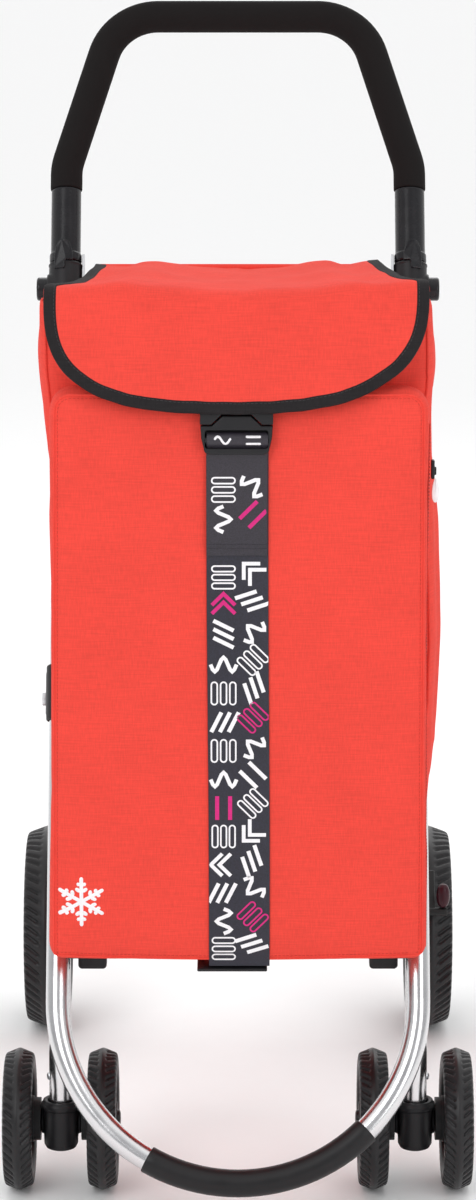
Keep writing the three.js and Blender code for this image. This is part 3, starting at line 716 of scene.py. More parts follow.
# ------------------------------------------------------------------ handle joint
def add_knuckles():
    """The socket on top of each frame tube: a sleeve, a hinge cheek and a round button socket."""
    sleeve = rod("Z", 15, (-46, -0.3), edge=1.6)
    collar = rod("X", 13.4, (6, 16.4), 0, -24, edge=1.2)
    outline = [(4, -26), (19, -11), (24.4, -5), (24.6, 3), (21, 5.2), (16, 4), (14, -0.3), (4, -0.3)]
    cheek = slab(outline, "X", (-11.5, 11.5), 1.2)
    ridges = [rod("Z", 15.5, (z, z + 2.2), edge=0.9) for z in (-45.6, -3.4)]
    cuts = [rod("Z", 10.6, (-60, -7.5)), rod("X", 11.35, (10.8, 40), 0, -24),
            rod("X", 6, (-5.8, 5.8), 19, 0), block((-5.8, 17, -30), (5.8, 40, 12), 0.1)]
    parts = [sleeve, collar, cheek, *ridges]
    piece = cast("knuckle_right", on_plane(TUBE_X, SPLIT), parts, cuts, 0.4, 5)
    add_pair(piece, "plastic", "frame", "black_plastic", "frame_knuckle")


def add_buttons():
    profile = [(10.6, 15.2), (10.6, 23)]
    profile += [(8.4 + u, 23.6 + v) for u, v in arc(0, 0, 2.2, 0, 80, 5)]
    profile += [(6.4, 25.9), (5.6, 25.2), (4.6, 25.0)]
    knob = turned(profile, (0, 0, 0), "X", 64)
    piece = solid("release_knob_right", [set_down(knob, on_plane(TUBE_X, SPLIT - 24 * MM))])
    add_pair(piece, "gloss", "button_{}", "black_plastic", "handle_button")


def tongue_shape():
    """The clasp on the arm's front, wrapped on the sleeve; its outer side reaches lower."""
    outline = [(10, -8), (9.4, -8.8), (1, -8.8), (0, -8), (-0.2, -2), (-1, -1), (-6, -1), (-7, -0.2),
               (-6.6, 6), (-5, 13), (-3, 17), (0, 18.6), (3, 18.6), (6, 16.6), (8.4, 12), (9.6, 4)]
    vertices, faces = slab(outline, "Y", (-1.5, 2.6), 0.8)
    wrapped = []
    for x, y, z in vertices:
        turn = x / 15.2
        reach = 15.4 - y
        wrapped.append(Vector((reach * math.sin(turn), -reach * math.cos(turn), z)))
    return wrapped, faces


def add_handle_ends():
    """The foot of each arm: a sleeve with a shoulder, the hinge lug behind and the clasp in front."""
    sleeve = rod("Z", 13.5, (0.3, 70), edge=1.2)
    shoulder = rod("Z", 14.6, (0.3, 9), edge=1.6)
    outline = [(6, 0.3), (15, 0.3), (16, -4), (21, -5), (24, -2), (24, 3), (18, 14), (6, 26)]
    lug = slab(outline, "X", (-5.5, 5.5), 1.4)
    dimple = rod("Y", 2.0, (-24, -17.4), 1.5, 4.5)
    parts = [sleeve, shoulder, lug, tongue_shape()]
    piece = cast("arm_end_right", on_plane(TUBE_X, SPLIT), parts, [dimple], 0.4, 4)
    add_pair(piece, "gloss", "handle", "black_plastic", "handle_end")


def add_small_steel():
    """The hooks that hold the bag, the handle's hinge pins and the rear legs' pivot bolts."""
    outline = [(-7, -30), (8, -30), (8, -2), (2, 8), (-4, 8), (-7, 2)]
    place = on_plane(TUBE_X, SPLIT)
    hook = solid("bag_hook_right", [set_down(slab(outline, "X", (-17.4, -15.3), 0.4), place)])
    add_pair(hook, "steel", "frame", "bare_steel", "bag_hook")
    pin = solid("hinge_pin_right", [set_down(rod("X", 2.4, (-13, 13), 19, 0, 0.6, 32), place)])
    add_pair(pin, "steel", "frame", "bare_steel", "handle_pin")
    bolt_place = on_plane(TUBE_X, BRACKET_UP) @ Matrix.Translation((0, 24 * MM, 0))
    shank = rod("X", 3, (-13.8, 17.5), edge=0.5, sides=32)
    head = rod("X", 5.5, (-15.6, -13.8), edge=0.7, sides=32)
    hexagon = [(6 * math.cos(math.radians(a)), 6 * math.sin(math.radians(a))) for a in range(0, 360, 60)]
    nut = slab(hexagon, "X", (13.9, 17.6), 0.5)
    bolt = fused("leg_bolt_piece_right", set_all([shank, head, nut], bolt_place))
    add_pair(bolt, "steel", "frame", "bare_steel", "leg_bolt")


def add_leg_brackets():
    """The clamps on the frame tubes that the rear legs turn in."""
    saddle = rod("Z", 13, (-25, 25), edge=1.6)
    outline = [(0, -20), (24, -10), (32, -6), (34, 0), (32, 6), (24, 10), (0, 20)]
    arms = slab(outline, "X", (-13.5, 13.5), 1.2)
    cuts = [block((-10.5, 11.5, -60), (10.5, 60, 60), 0.2), rod("Z", 11.05, (-40, 40)),
            rod("X", 3.3, (-30, 30), 24, 0)]
    piece = cast("leg_clamp_right", on_plane(TUBE_X, BRACKET_UP), [saddle, arms], cuts, 0.5, 4)
    add_pair(piece, "plastic", "frame", "black_plastic", "leg_bracket")


# ------------------------------------------------------------------ casters
def caster_place():
    """The right caster's upright pivot, on the floor."""
    return upright(TUBE_X, FRONT_AXLE.y - 10 * MM, 0)


def add_caster_legs():
    """The short upright tubes over the casters, cut on top to fit under the leaning frame."""
    foot, sides = 77.5, 64
    place = caster_place()
    loops = []
    for radius, order in ((10.0, 1), (8.5, -1)):
        foot_ring, top_ring = [], []
        for i in range(sides):
            turn = 2 * math.pi * i / sides
            x, y = radius * math.cos(turn), radius * math.sin(turn)
            ahead = (place.translation.y / MM + y) - BOW.y / MM
            top = BOW.z / MM + (ahead * math.cos(LEAN) - 10.5) / math.sin(LEAN)
            foot_ring.append((x, y, foot))
            top_ring.append((x, y, top))
        loops += [foot_ring, top_ring][::order]
    piece = solid("front_leg_right", [set_down(rings(loops, closed=True), place)])
    add_pair(piece, "aluminium", "frame", "aluminium_tube", "caster_leg")
    dome = [(3.4, 9.4), (3.3, 10.6), (2.6, 11.5), (1.4, 12.0), (0.7, 11.4)]
    spot = place @ Matrix.Translation((0, 0, 105.5 * MM))
    screw = solid("leg_screw_right", [set_down(turned(dome, (0, 0, 0), "X", 32), spot)])
    add_pair(screw, "steel", "frame", "bare_steel")


def add_caster_housings():
    """Each caster's body between its two wheels: a cup on the pivot, a boss, and the axle through it."""
    profile = [(10, 39), (13.2, 40.4), (15, 44), (15.4, 60), (15.4, 76), (17.2, 77.2),
               (17.6, 79), (17.2, 81), (16, 82), (15.6, 84), (13.6, 84.4), (11.6, 83.6), (10.8, 77)]
    cup = turned(profile, (0, 0, 0), "Z", 64)
    boss = rod("X", 13, (-17.6, 17.6), 10, FRONT_RADIUS, 1.4)
    ring = rod("X", 10.5, (-17.7, 17.7), 10, FRONT_RADIUS, 0.8)
    web = block((-15.2, -2, 47), (15.2, 17, 78), 2.5)
    cuts = [rod("X", 4.3, (-30, 30), 10, FRONT_RADIUS), rod("Z", 4.3, (43, 90))]
    piece = cast("caster_fork_right", caster_place(), [cup, boss, ring, web], cuts, 0.45, 4)
    add_pair(piece, "plastic", "caster_{}", "black_plastic", "caster_housing")
    ends = [rod("X", 4, (-49.8, 49.8), edge=0.5, sides=32)]
    for side in (1, -1):
        cap = [(8, 48.8), (8, 50.6), (7.2, 51.8), (5.6, 52.4), (4.6, 51.6)]
        ends.append(turned([(r, side * h) for r, h in cap], (0, 0, 0), "X", 48))
    axle = fused("caster_pin_right", set_all(ends, upright(TUBE_X, FRONT_AXLE.y, FRONT_RADIUS * MM)))
    add_pair(axle, "black_steel", "caster_{}", "bare_steel", "caster_axle")


# ------------------------------------------------------------------ wheels
GROOVE_STEPS = 24  # places round the tyre for one pair of grooves


def tyre_profile(radius, half, seat, crown):
    """From bead to bead: nearly flat walls, then a tread that slopes up to a ridge in the middle."""
    side = [(seat, half * 0.8), (seat + 2, half * 0.93), (seat + 6, half)]
    side += [(radius - crown + up, half * share) for up, share in ((-3.5, 0.985), (-1, 0.94), (0.5, 0.84))]
    side += [(radius - crown * drop, half * share) for drop, share in ((0.62, 0.6), (0.3, 0.33), (0.05, 0.1))]
    points = side + [(radius, 0)] + [(r, -w) for r, w in reversed(side)]
    return [tuple(p) for p in curve_through(points, 3)]


def treaded(profile, radius, seat, half, count, slant, depth, band):
    """A lathed tyre with slanted grooves on each shoulder, in count pairs."""
    steps = count * GROOVE_STEPS
    loops = []
    for i in range(steps):
        turn = 2 * math.pi * i / steps
        loop = []
        for r, w in profile:
            share = (r - seat) / (radius - seat)
            across = abs(w) / half
            phase = (i / GROOVE_STEPS + slant * across + (0.5 if w < 0 else 0.0)) % 1.0
            dips = [max(0.0, 1 - (abs(phase - middle_phase) / 0.12) ** 4) for middle_phase in (0.28, 0.72)]
            shoulder = smoothstep(0.3, 0.42, share) * smoothstep(band, band + 0.06, across)
            deep = depth * shoulder * max(dips)
            loop.append(Vector((w, (r - deep) * math.cos(turn), (r - deep) * math.sin(turn))))
        loops.append(loop)
    return rings(loops, closed=True)


def spoked(seat, half, spokes, hub, span, bore, steps):
    """A moulded rim: a channelled ring, ribbed spokes and a stepped hub, drawn about the axle."""
    ring = [(seat - 0.4, -half * 0.55), (seat - 0.4, half * 0.55), (seat - 2.4, half * 0.62),
            (seat * 0.885, half * 0.5), (seat * 0.86, half * 0.2), (seat * 0.86, -half * 0.2),
            (seat * 0.885, -half * 0.5), (seat - 2.4, -half * 0.62)]
    parts = [turned(ring, (0, 0, 0), "X", 96, hollow=True)]
    low, high = span
    profile = [(bore, low), (hub, low)]
    for share, radius in steps:
        profile += [(profile[-1][0], low + (high - low) * share), (radius, low + (high - low) * share)]
    profile += [(profile[-1][0], high), (bore, high)]
    parts.append(turned(profile, (0, 0, 0), "X", 72, hollow=True))
    foot, tip = bore + 4, seat * 0.9

    def bar(foot_half, tip_half, thick, edge):
        outline = [(-foot_half, foot), (foot_half, foot), (tip_half, tip), (-tip_half, tip)]
        return slab(outline, "Y", (-thick, thick), edge)

    for i in range(spokes):
        spoke = bar(half * 0.36, half * 0.36, 5.0, 1.5)
        rib = bar(half * 0.55, half * 0.5, 1.6, 0.6)
        turn = Matrix.Rotation(2 * math.pi * i / spokes, 4, "X")
        parts += [([turn @ Vector(v) for v in vertices], faces) for vertices, faces in (spoke, rib)]
    return parts


def add_front_wheels():
    half, seat = 13, 45
    profile = tyre_profile(FRONT_RADIUS, half, seat, 4.6)
    tread = treaded(profile, FRONT_RADIUS, seat, half, 24, 0.75, 1.9, 0.26)
    rim = spoked(44.7, half, 5, 19, (-19, 12.5), 4.3, [(0.2, 20.5), (0.28, 17), (0.36, 20), (0.9, 15)])
    for wheel, offset, outward in (("outer", 37, 1), ("inner", -37, -1)):
        turn = Matrix.Rotation(0.1 * offset, 4, "X")  # so that the two wheels' grooves don't line up
        place = upright(TUBE_X + offset * MM, FRONT_AXLE.y, FRONT_RADIUS * MM) @ turn
        body = f"caster_wheel_{wheel}_{{}}"
        tyre = solid(f"front_tyre_{wheel}_right", [set_down(tread, place)], 50)
        add_pair(tyre, "tyre", body, "tyre_rubber", f"caster_tyre_{wheel}")
        parts = set_all(rim, place @ Matrix.Diagonal((outward, 1, 1, 1)))
        made = fused(f"front_rim_{wheel}_right", parts, smooth=30)
        add_pair(made, "rim", body, "black_plastic", f"caster_rim_{wheel}")


def add_rear_wheels():
    half, seat = 21, 78
    profile = tyre_profile(REAR_RADIUS, half, seat, 6.5)
    tread = treaded(profile, REAR_RADIUS, seat, half, 30, 0.75, 2.6, 0.22)
    place = upright(189 * MM, REAR_AXLE.y, REAR_RADIUS * MM)
    tyre = solid("back_tyre_right", [set_down(tread, place)], 50)
    add_pair(tyre, "tyre", "rear_wheel_{}", "tyre_rubber", "rear_tyre")
    rim = spoked(77.7, half, 6, 22, (-20.8, 15.8), 5.3, [(0.12, 20), (0.2, 24), (0.8, 20)])
    piece = fused("back_rim_right", set_all(rim, place), smooth=30)
    add_pair(piece, "rim", "rear_wheel_{}", "black_plastic", "rear_rim")
    profile = [(13, 16.5), (13, 18.6), (12.2, 19.6), (9.6, 20.6), (8.4, 20.9)]
    cap = solid("wheel_cap_right", [set_down(turned(profile, (0, 0, 0), "X", 48), place)])
    add_pair(cap, "plastic", "rear_frame", "black_plastic", "axle_cap")


# ------------------------------------------------------------------ rear frame and brake
LEG_TILT = math.radians(49.6268)  # the rear legs, from upright
LEG_LENGTH = 498.987  # from the pivot bolt to the rear axle
BRAKE_DOWN = -386  # the brake's shaft, along the leg from the bolt


def on_leg(x):
    """Where a part of the rear frame goes; it is drawn about the pivot bolt, the leg running down -Z."""
    drop = Vector((0, -math.sin(LEG_TILT), math.cos(LEG_TILT))) * (LEG_LENGTH * MM)
    pivot = Vector((x, REAR_AXLE.y, REAR_AXLE.z)) + drop
    return Matrix.Translation(pivot) @ Matrix.Rotation(LEG_TILT, 4, "X")


def span_across(node):
    """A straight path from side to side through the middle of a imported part."""
    low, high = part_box(node)
    centre = (low + high) / 2
    return [Vector((x, centre.y, centre.z)) for x in (low.x, 0, high.x)]


def add_rear_frame():
    """Two legs with plugs on top and feet on the axle, the cross tube between them and the axle."""
    place = on_leg(TUBE_X)
    foot_top = -LEG_LENGTH + 17
    wall = [(10, foot_top), (10, 5.9), (9.4, 6.5), (8.5, 6.5), (8.5, foot_top)]
    leg = solid("rear_leg_tube_right", [set_down(turned(wall, (0, 0, 0), "Z", 64, hollow=True), place)])
    add_pair(leg, "aluminium", "rear_frame", "aluminium_tube", "rear_leg")
    plug = solid("rear_leg_plug_right", [set_down(rod("Z", 8.3, (3.8, 7.4), edge=1.0), place)])
    add_pair(plug, "plastic", "rear_frame", "black_plastic")
    eye = rod("X", 15, (-10, 10), 0, -LEG_LENGTH, 1.6)
    neck = rod("Z", 12, (-LEG_LENGTH + 6, -LEG_LENGTH + 22), edge=1.0)
    core = rod("Z", 8.2, (-LEG_LENGTH, -LEG_LENGTH + 45), edge=0.8)
    bore = rod("X", 5.3, (-30, 30), 0, -LEG_LENGTH)
    foot = cast("rear_foot_right", place, [eye, neck, core], [bore], 0.5, 4)
    add_pair(foot, "plastic", "rear_frame", "black_plastic", "rear_leg_foot")
    bar = solid("cross_tube", [pipe(span_across("rear_crossbar"), 8 * MM, 6.5 * MM)])
    finished(bar, "aluminium", "rear_frame", "aluminium_tube", "rear_crossbar")
    axle = solid("axle_rod", [tube(span_across("rear_axle"), 5 * MM, 40, 0.6 * MM)])
    finished(axle, "steel", "rear_frame", "bare_steel", "rear_axle")


def add_brake():
    """The clamp on the right leg, the shaft with its arm and shoe, and the pedal on its outer end."""
    place = on_leg(TUBE_X)
    sleeve = rod("Z", 12, (-397, -375), edge=1.0)
    ear = block((-3.4, -43.5, -394.5), (3.4, -9, -377.5), 1.2, "X")
    cuts = [rod("Z", 10.4, (-420, -350)), rod("X", 4.3, (-30, 30), -35, BRAKE_DOWN)]
    clamp = cast("brake_clamp", place, [sleeve, ear], cuts, 0.4, 4)
    finished(clamp, "plastic", "rear_frame", "black_plastic", "brake_bracket")
    shaft = rod("X", 4, (-5, 46.5), -35, BRAKE_DOWN, 0.6, 40)
    arm = block((14, -36, BRAKE_DOWN - 3), (35, 8, BRAKE_DOWN + 3), 1.2)
    shoe = block((14, -8, -LEG_LENGTH + 106), (35, 8, BRAKE_DOWN), 1.0)
    lever = fused("brake_arm", set_all([shaft, arm, shoe], place))
    finished(lever, "black_steel", "brake", "black_steel", "brake_lever")
    low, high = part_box("brake_pedal")
    centre = (low + high) / 2
    profile = []
    for i in range(25):
        turn = math.pi * i / 24
        height = (low.z + high.z) / MM / 2 - (high.z - low.z) / MM / 2 * math.cos(turn)
        profile.append((6.6 * max(0.02, math.sin(turn)) ** 0.75, height))
    pedal = turned(profile, (0, 0, 0), "Z", 48)
    made = solid("pedal_pad", [set_down(pedal, upright(centre.x, centre.y, 0))])
    finished(made, "pedal", "brake", "pedal_plastic", "brake_pedal")


def add_bag_rest():
    """The bent wire under the bag, with a straight bar in front and a pad on each end of the bar."""
    low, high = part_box("bag_rest")
    z = (low.z + high.z) / 2
    back, front = high.y - 4 * MM, FRONT_AXLE.y - 10 * MM
    half = 104 * MM
    corners = [Vector(p) for p in ((-half, front, z), (-half, back, z), (half, back, z), (half, front, z))]
    loop = filled(bent(corners, [18 * MM, 18 * MM], 6), 30 * MM)
    bar = [Vector((x, front, z)) for x in (low.x, 0, high.x)]
    wire = fused("rest_wire", [tube(loop, 4 * MM, 32), tube(bar, 4 * MM, 32, 0.6 * MM)])
    finished(wire, "black_steel", "rest", "black_steel", "bag_rest")
    low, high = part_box("rest_pad_right")
    outline = rounded((low.x, low.z), (high.x, high.z), 3.5 * MM)
    pad = solid("rest_block_right", [slab(outline, "Y", (low.y, high.y), 2.2 * MM)])
    add_pair(pad, "plastic", "rest", "black_plastic", "rest_pad")


# ------------------------------------------------------------------ soft goods
def local(x, y, z):
    """Millimetres across, behind the front axle and up from the floor."""
    return Vector((x * MM, FRONT_AXLE.y + y * MM, z * MM))


def simulated(piece, pressure, cap):
    """Cloth under a little pressure: panels swell and pucker outward, by no more than cap."""
    before = [(vertex.co.copy(), vertex.normal.copy()) for vertex in piece.data.vertices]
    cloth = piece.modifiers.new("cloth", "CLOTH").settings
    cloth.quality = 6
    cloth.mass = 0.25
    cloth.tension_stiffness = 20
    cloth.compression_stiffness = 12
    cloth.bending_stiffness = 0.4
    cloth.use_pressure = True
    cloth.uniform_pressure_force = pressure
    cloth.effector_weights.gravity = 0
    for number in range(1, 21):
        bpy.context.scene.frame_set(number)
    baked(piece)
    for vertex, (start, normal) in zip(piece.data.vertices, before):
        step = vertex.co - start
        step -= normal * (0.85 * min(0.0, step.dot(normal)))
        vertex.co = start + step
        if step.length > cap:
            vertex.co = start + step * (cap / step.length)
    bpy.context.scene.frame_set(1)


def filled_with_air(piece, voxel, pressure, cap):
    """Turns a closed form into cloth that has been blown up a little, then relaxed and made finer."""
    remesh = piece.modifiers.new("remesh", "REMESH")
    remesh.mode = "VOXEL"
    remesh.voxel_size = voxel
    baked(piece)
    simulated(piece, pressure, cap)
    soften = piece.modifiers.new("soften", "SMOOTH")
    soften.factor = 0.5
    soften.iterations = 3
    piece.modifiers.new("finer", "SUBSURF").levels = 1
    baked(piece)
    piece.data.shade_smooth()


def opened(piece, is_lid, thickness):
    """Removes the faces over the mouth and gives the cloth that is left its thickness."""
    shape = bmesh.new()
    shape.from_mesh(piece.data)
    lid = [face for face in shape.faces if is_lid(face.calc_center_median(), face.normal)]
    bmesh.ops.delete(shape, geom=lid, context="FACES")
    loose = [vertex for vertex in shape.verts if not vertex.link_faces]
    bmesh.ops.delete(shape, geom=loose, context="VERTS")
    shape.to_mesh(piece.data)
    shape.free()
    shell = piece.modifiers.new("shell", "SOLIDIFY")
    shell.thickness = thickness
    shell.offset = -1
    baked(piece)
    piece.data.shade_smooth()


def skin_of(piece):
    return BVHTree.FromObject(piece, bpy.context.evaluated_depsgraph_get())


def on_front(skin, x, z, lift=0.0):
    """The place on the front of a skin at (x, z), lifted off it; all in millimetres."""
    hit = skin.ray_cast(Vector((x * MM, -1.0, z * MM)), Vector((0, 1, 0)))[0]
    if hit is None:
        hit = skin.find_nearest(Vector((x * MM, -0.31, z * MM)))[0]
    return hit - Vector((0, lift * MM, 0))


def on_right(skin, y, z):
    """The place on the pocket's right side at (y, z), in millimetres."""
    x = pocket_half(z, 1)
    return skin.ray_cast(local(x + 40, y, z), Vector((-1, 0, 0)))[0] or local(x, y, z)


FLAP_HINGE = (185, 797)  # behind the front axle and up from the floor
BAG_FRONT, BAG_FOOT, BAG_TOP = -43, 224, 790
BAG_SWELL = {  # how far the bag's wide part reaches to each side, as (height, half width)
    1: [(222, 156), (330, 163), (400, 168), (500, 172), (600, 169), (690, 165), (730, 168), (785, 165)],
    -1: [(222, 154), (330, 156), (500, 158), (640, 160), (700, 166), (740, 168), (785, 168)],
}


def between(table, place):
    """The value at a place in a table of (place, value), joined smoothly."""
    for (low, first), (high, second) in zip(table, table[1:]):
        if place <= high:
            share = smoothstep(low, high, place)
            return first + (second - first) * share
    return table[-1][1]


def bag_back_limit(z):
    """How far back the wide part of the bag may reach before it meets the leaning tubes."""
    tube_y = BOW.y / MM - FRONT_AXLE.y / MM + (z - BOW_HEIGHT) * math.tan(LEAN)
    return tube_y - 15.5 / math.cos(LEAN)


def rim_height(x, y):
    """The bag's rim slopes down from front to back, just under the flap; its back corners dip."""
    dip = 9 * smoothstep(100, 135, abs(x)) * smoothstep(60, 150, y)
    return 801.5 - (y - BAG_FRONT) * 8.5 / 229 - dip


def narrowing(behind):
    """The share of its front width that the flap keeps at a distance behind its fold."""
    return (1 - 0.075 * smoothstep(4, 28, behind) - 0.055 * smoothstep(10, 70, behind)
            - 0.085 * smoothstep(30, 233, behind))


def divided(outline, gap):
    """The closed outline with points added so that none are much further apart than gap."""
    result = []
    for here, there in zip(outline, outline[1:] + outline[:1]):
        count = max(1, round(math.dist(here, there) / gap))
        result += [Vector(here).lerp(Vector(there), i / count) for i in range(count)]
    return result


def with_sides(outline, count):
    """A rounded rectangle's outline with each straight side cut into count parts."""
    result = []
    for i, (here, there) in enumerate(zip(outline, outline[1:] + outline[:1])):
        parts = count if (i + 1) % (len(outline) // 4) == 0 else 1
        for j in range(parts):
            share = j / parts
            result.append((here[0] + (there[0] - here[0]) * share, here[1] + (there[1] - here[1]) * share))
    return result


def add_bag_body():
    """A wide part before the frame tubes joined to a narrow one that passes between them."""
    def level(outline, z):
        return [local(x, y, rim_height(x, y) if z == BAG_TOP else z) for x, y in outline]

    wide, narrow = [], []
    for z in (252, 262, 280, 300, 340, 400, 450, 500, 550, 600, 650, 700, 740, 783, BAG_TOP):
        right, left = between(BAG_SWELL[1], z), between(BAG_SWELL[-1], z)
        back = min(183, bag_back_limit(z))
        radius = min(16, (back + 44) / 2 - 0.5)
        outline = with_sides(rounded((-left, BAG_FRONT), (right, back), radius), 14)
        taper = smoothstep(600, 780, z)
        wide.append(level([(x * (1 - (1 - narrowing(y + 14)) * taper), y) for x, y in outline], z))
    hem = {BAG_FOOT: 3, BAG_FOOT + 4: 1}  # how far the lowest rings are drawn in
    for z in (BAG_FOOT, BAG_FOOT + 4, 236, 300, 400, 500, 600, 700, 783, BAG_TOP):
        pull = hem.get(z, 0)
        puff = 2.5 * math.sin(math.pi * (z - BAG_FOOT) / (BAG_TOP - BAG_FOOT))
        low, high = (-137 + pull, BAG_FRONT + pull), (137 - pull, 181 + puff - pull)
        narrow.append(level(rounded(low, high, 26), z))
    body = fused("bag", [rings(wide), rings(narrow)])
    filled_with_air(body, 6 * MM, 3.0, 5 * MM)
    opened(body, lambda place, normal: place.z > 777 * MM and normal.z > 0.5, 2.2 * MM)
    finished(body, "red", "frame", "red_fabric", "bag_body")
    return body


def add_bag_piping(skin):
    """Piping down the bag's two front corners."""
    parts = []
    for side in (1, -1):
        path = []
        for z in range(240, 790, 6):
            corner = local(side * (between(BAG_SWELL[side], z) + 12), -55, z)
            hit = skin.find_nearest(corner)[0]
            path.append(hit.lerp(corner, 0.02))
        parts.append(tube(path, 1.3 * MM, 12, 0.6 * MM))
    piping = solid("bag_piping", parts)
    finished(piping, "red", "frame", "red_fabric")


def add_flap_hinge():
    """The roll that the flap is sewn to, on a band along the top of the bag's back."""
    y, top = FLAP_HINGE
    roll = [local(x, y, top) for x in range(-127, 128, 2)]
    band = [local(x, y - 2.2, z) for x, z in rounded((-126, 770), (126, top), 3)]
    band = rings([band, [place + Vector((0, 3.4 * MM, 0)) for place in band]])
    hinge = fused("flap_hinge_roll", [tube(roll, 3.4 * MM, 24, 1.5 * MM), band])
    finished(hinge, "red", "frame", "red_fabric")


def add_hanging_loops():
    """The two webbing loops from the bag's back to the hooks on the frame."""
    up = Vector((0, 0, 1))
    loops = []
    for side in (1, -1):
        around = on_plane(TUBE_X, SPLIT) @ (Vector((-16.5, 1, -16)) * MM)
        around.x *= side
        near = local(side * 122, 179, 768)
        along = around - near
        along.z = 0
        reach = along.length / MM + 7
        along.normalize()
        across = up.cross(along)
        oval = rounded((0, -2.6), (reach, 2.6), 2.5, 5)
        path = [near + along * (u * MM) + across * (v * MM) for u, v in oval]
        bands = []
        for i, place in enumerate(path):
            ahead = (path[(i + 1) % len(path)] - path[i - 1]).normalized()
            out = ahead.cross(up)
            section = rounded((-0.8, -9), (0.8, 9), 0.6, 2)
            bands.append([place + out * (w * MM) + Vector((0, 0, h * MM)) for w, h in section])
        loops.append(rings(bands, closed=True))
    made = solid("hanging_loops", loops)
    finished(made, "webbing", "frame", "strap_webbing")


# ------------------------------------------------------------------ front pocket
POCKET_FOOT, POCKET_TOP = 234, 730
ZIP_Y = -66


def pocket_half(z, side):
    """The pocket's half width at a height; it narrows towards its top."""
    top, bottom = (160.7, 163.2) if side > 0 else (158.4, 163.2)
    return bottom + (top - bottom) * (z - 233) / 497


def pocket_outline(steps=7):
    """The pocket's front view, (x, z) from the lower right corner round; its bottom sags."""
    outline = []
    for side, up, start, radius in ((1, -1, -90, 10), (1, 1, 0, 19), (-1, 1, 90, 19), (-1, -1, 180, 8)):
        z = (POCKET_TOP if up > 0 else POCKET_FOOT) - up * radius
        x = side * (pocket_half(z, side) - radius)
        outline += arc(x, z, radius, start, start + 90, steps)
    result = []
    for here, there in zip(outline, outline[1:] + outline[:1]):
        count = max(1, round(math.dist(here, there) / 8))
        for i in range(count):
            x = here[0] + (there[0] - here[0]) * i / count
            z = here[1] + (there[1] - here[1]) * i / count
            sag = 3.6 * max(0.0, 1 - (x / 165) ** 2) * (1 - smoothstep(240, 300, z))
            result.append((x, z - sag))
    return result


def add_pocket():
    """The flat front pocket, filled out and open at the top under the flap."""
    levels = [(-49, 1.0), (-53, 0.0), (-76, 0.0), (-80.5, 1.4), (-83, 3.6), (-84.3, 6.5)]
    loops = [[local(x, y, z) for x, z in inset(pocket_outline(), by)] for y, by in levels]
    body = solid("cooler_pocket", [rings(loops)])
    filled_with_air(body, 5 * MM, 3.0, 3.2 * MM)
    for vertex in body.data.vertices:  # the zip holds the side flat, so its slider runs clear
        off = abs((vertex.co.y - FRONT_AXLE.y) / MM - ZIP_Y)
        if vertex.co.x > 0.15 and off < 14:
            limit = 161.2 + 4 * smoothstep(9, 14, off)
            vertex.co.x = min(vertex.co.x, limit * MM)

    def is_lid(place, normal):
        y = (place.y - FRONT_AXLE.y) / MM
        return normal.z > 0.8 and place.z > 0.72 and abs(place.x) < 0.1 and -79 < y < -54

    opened(body, is_lid, 2.0 * MM)
    finished(body, "red", "frame", "red_fabric", "front_pocket")
    return body


def add_pocket_piping(skin):
    """The front panel's seam, with its piping and a row of stitches inside it."""
    line = [on_front(skin, x, z, 0.35) for x, z in inset(pocket_outline(), 5.2)]
    piping = solid("pocket_piping", [tube([*line, line[0]], 1.0 * MM, 10)])
    finished(piping, "red", "frame", "red_fabric")
    row = [on_front(skin, x, z, 0.1) for x, z in inset(pocket_outline(), 8.2)]
    finished(stitched("pocket_stitches", row, 3.4, 2.3), "red_thread", "frame", "red_fabric")


def add_zip(skin):
    """The zip down the pocket's right side: its teeth between two tapes."""
    teeth = []
    half = Vector((0.7, 2.1, 0.9))
    for z in range(250, 700, 3):
        centre = on_right(skin, ZIP_Y, z) / MM + Vector((0.3, 0, 0))
        teeth.append(set_down(block(centre - half, centre + half, 0.5, "X"), Matrix.Identity(4)))
    finished(solid("zip_chain", teeth), "plastic", "frame", "black_plastic")
    bands = []
    for y in (ZIP_Y - 5.5, ZIP_Y + 5.5):
        path = [on_right(skin, y, z) + Vector((0.25 * MM, 0, 0)) for z in range(244, 706, 7)]
        bands.append(strip(path, Vector((0, 1, 0)), 3.3, 0.5))
    tape = solid("zip_tape", bands)
    finished(tape, "red", "frame", "red_fabric")


def strip(path, across, half, thickness):
    """A flat band along a path, its width lying along one fixed direction; millimetre sizes."""
    section = rounded((-half, -thickness / 2), (half, thickness / 2), thickness * 0.48, 3)
    loops = []
    for i, place in enumerate(path):
        out = direction(path, i).cross(across).normalized()
        loops.append([place + across * (u * MM) + out * (v * MM) for u, v in section])
    return rings(loops)


def stitched(name, line, pitch, length, radius=0.28):
    """A row of short raised stitches along a line, both sizes in millimetres."""
    parts, travelled, due = [], 0.0, 0.0
    for here, there in zip(line, line[1:]):
        step = (there - here).length / MM
        while due <= travelled + step and step > 1e-6:
            start = here.lerp(there, (due - travelled) / step)
            end = start + (there - here).normalized() * (length * MM)
            parts.append(tube([start, end], radius * MM, 8, radius * MM * 0.9))
            due += pitch
        travelled += step
    return solid(name, parts)


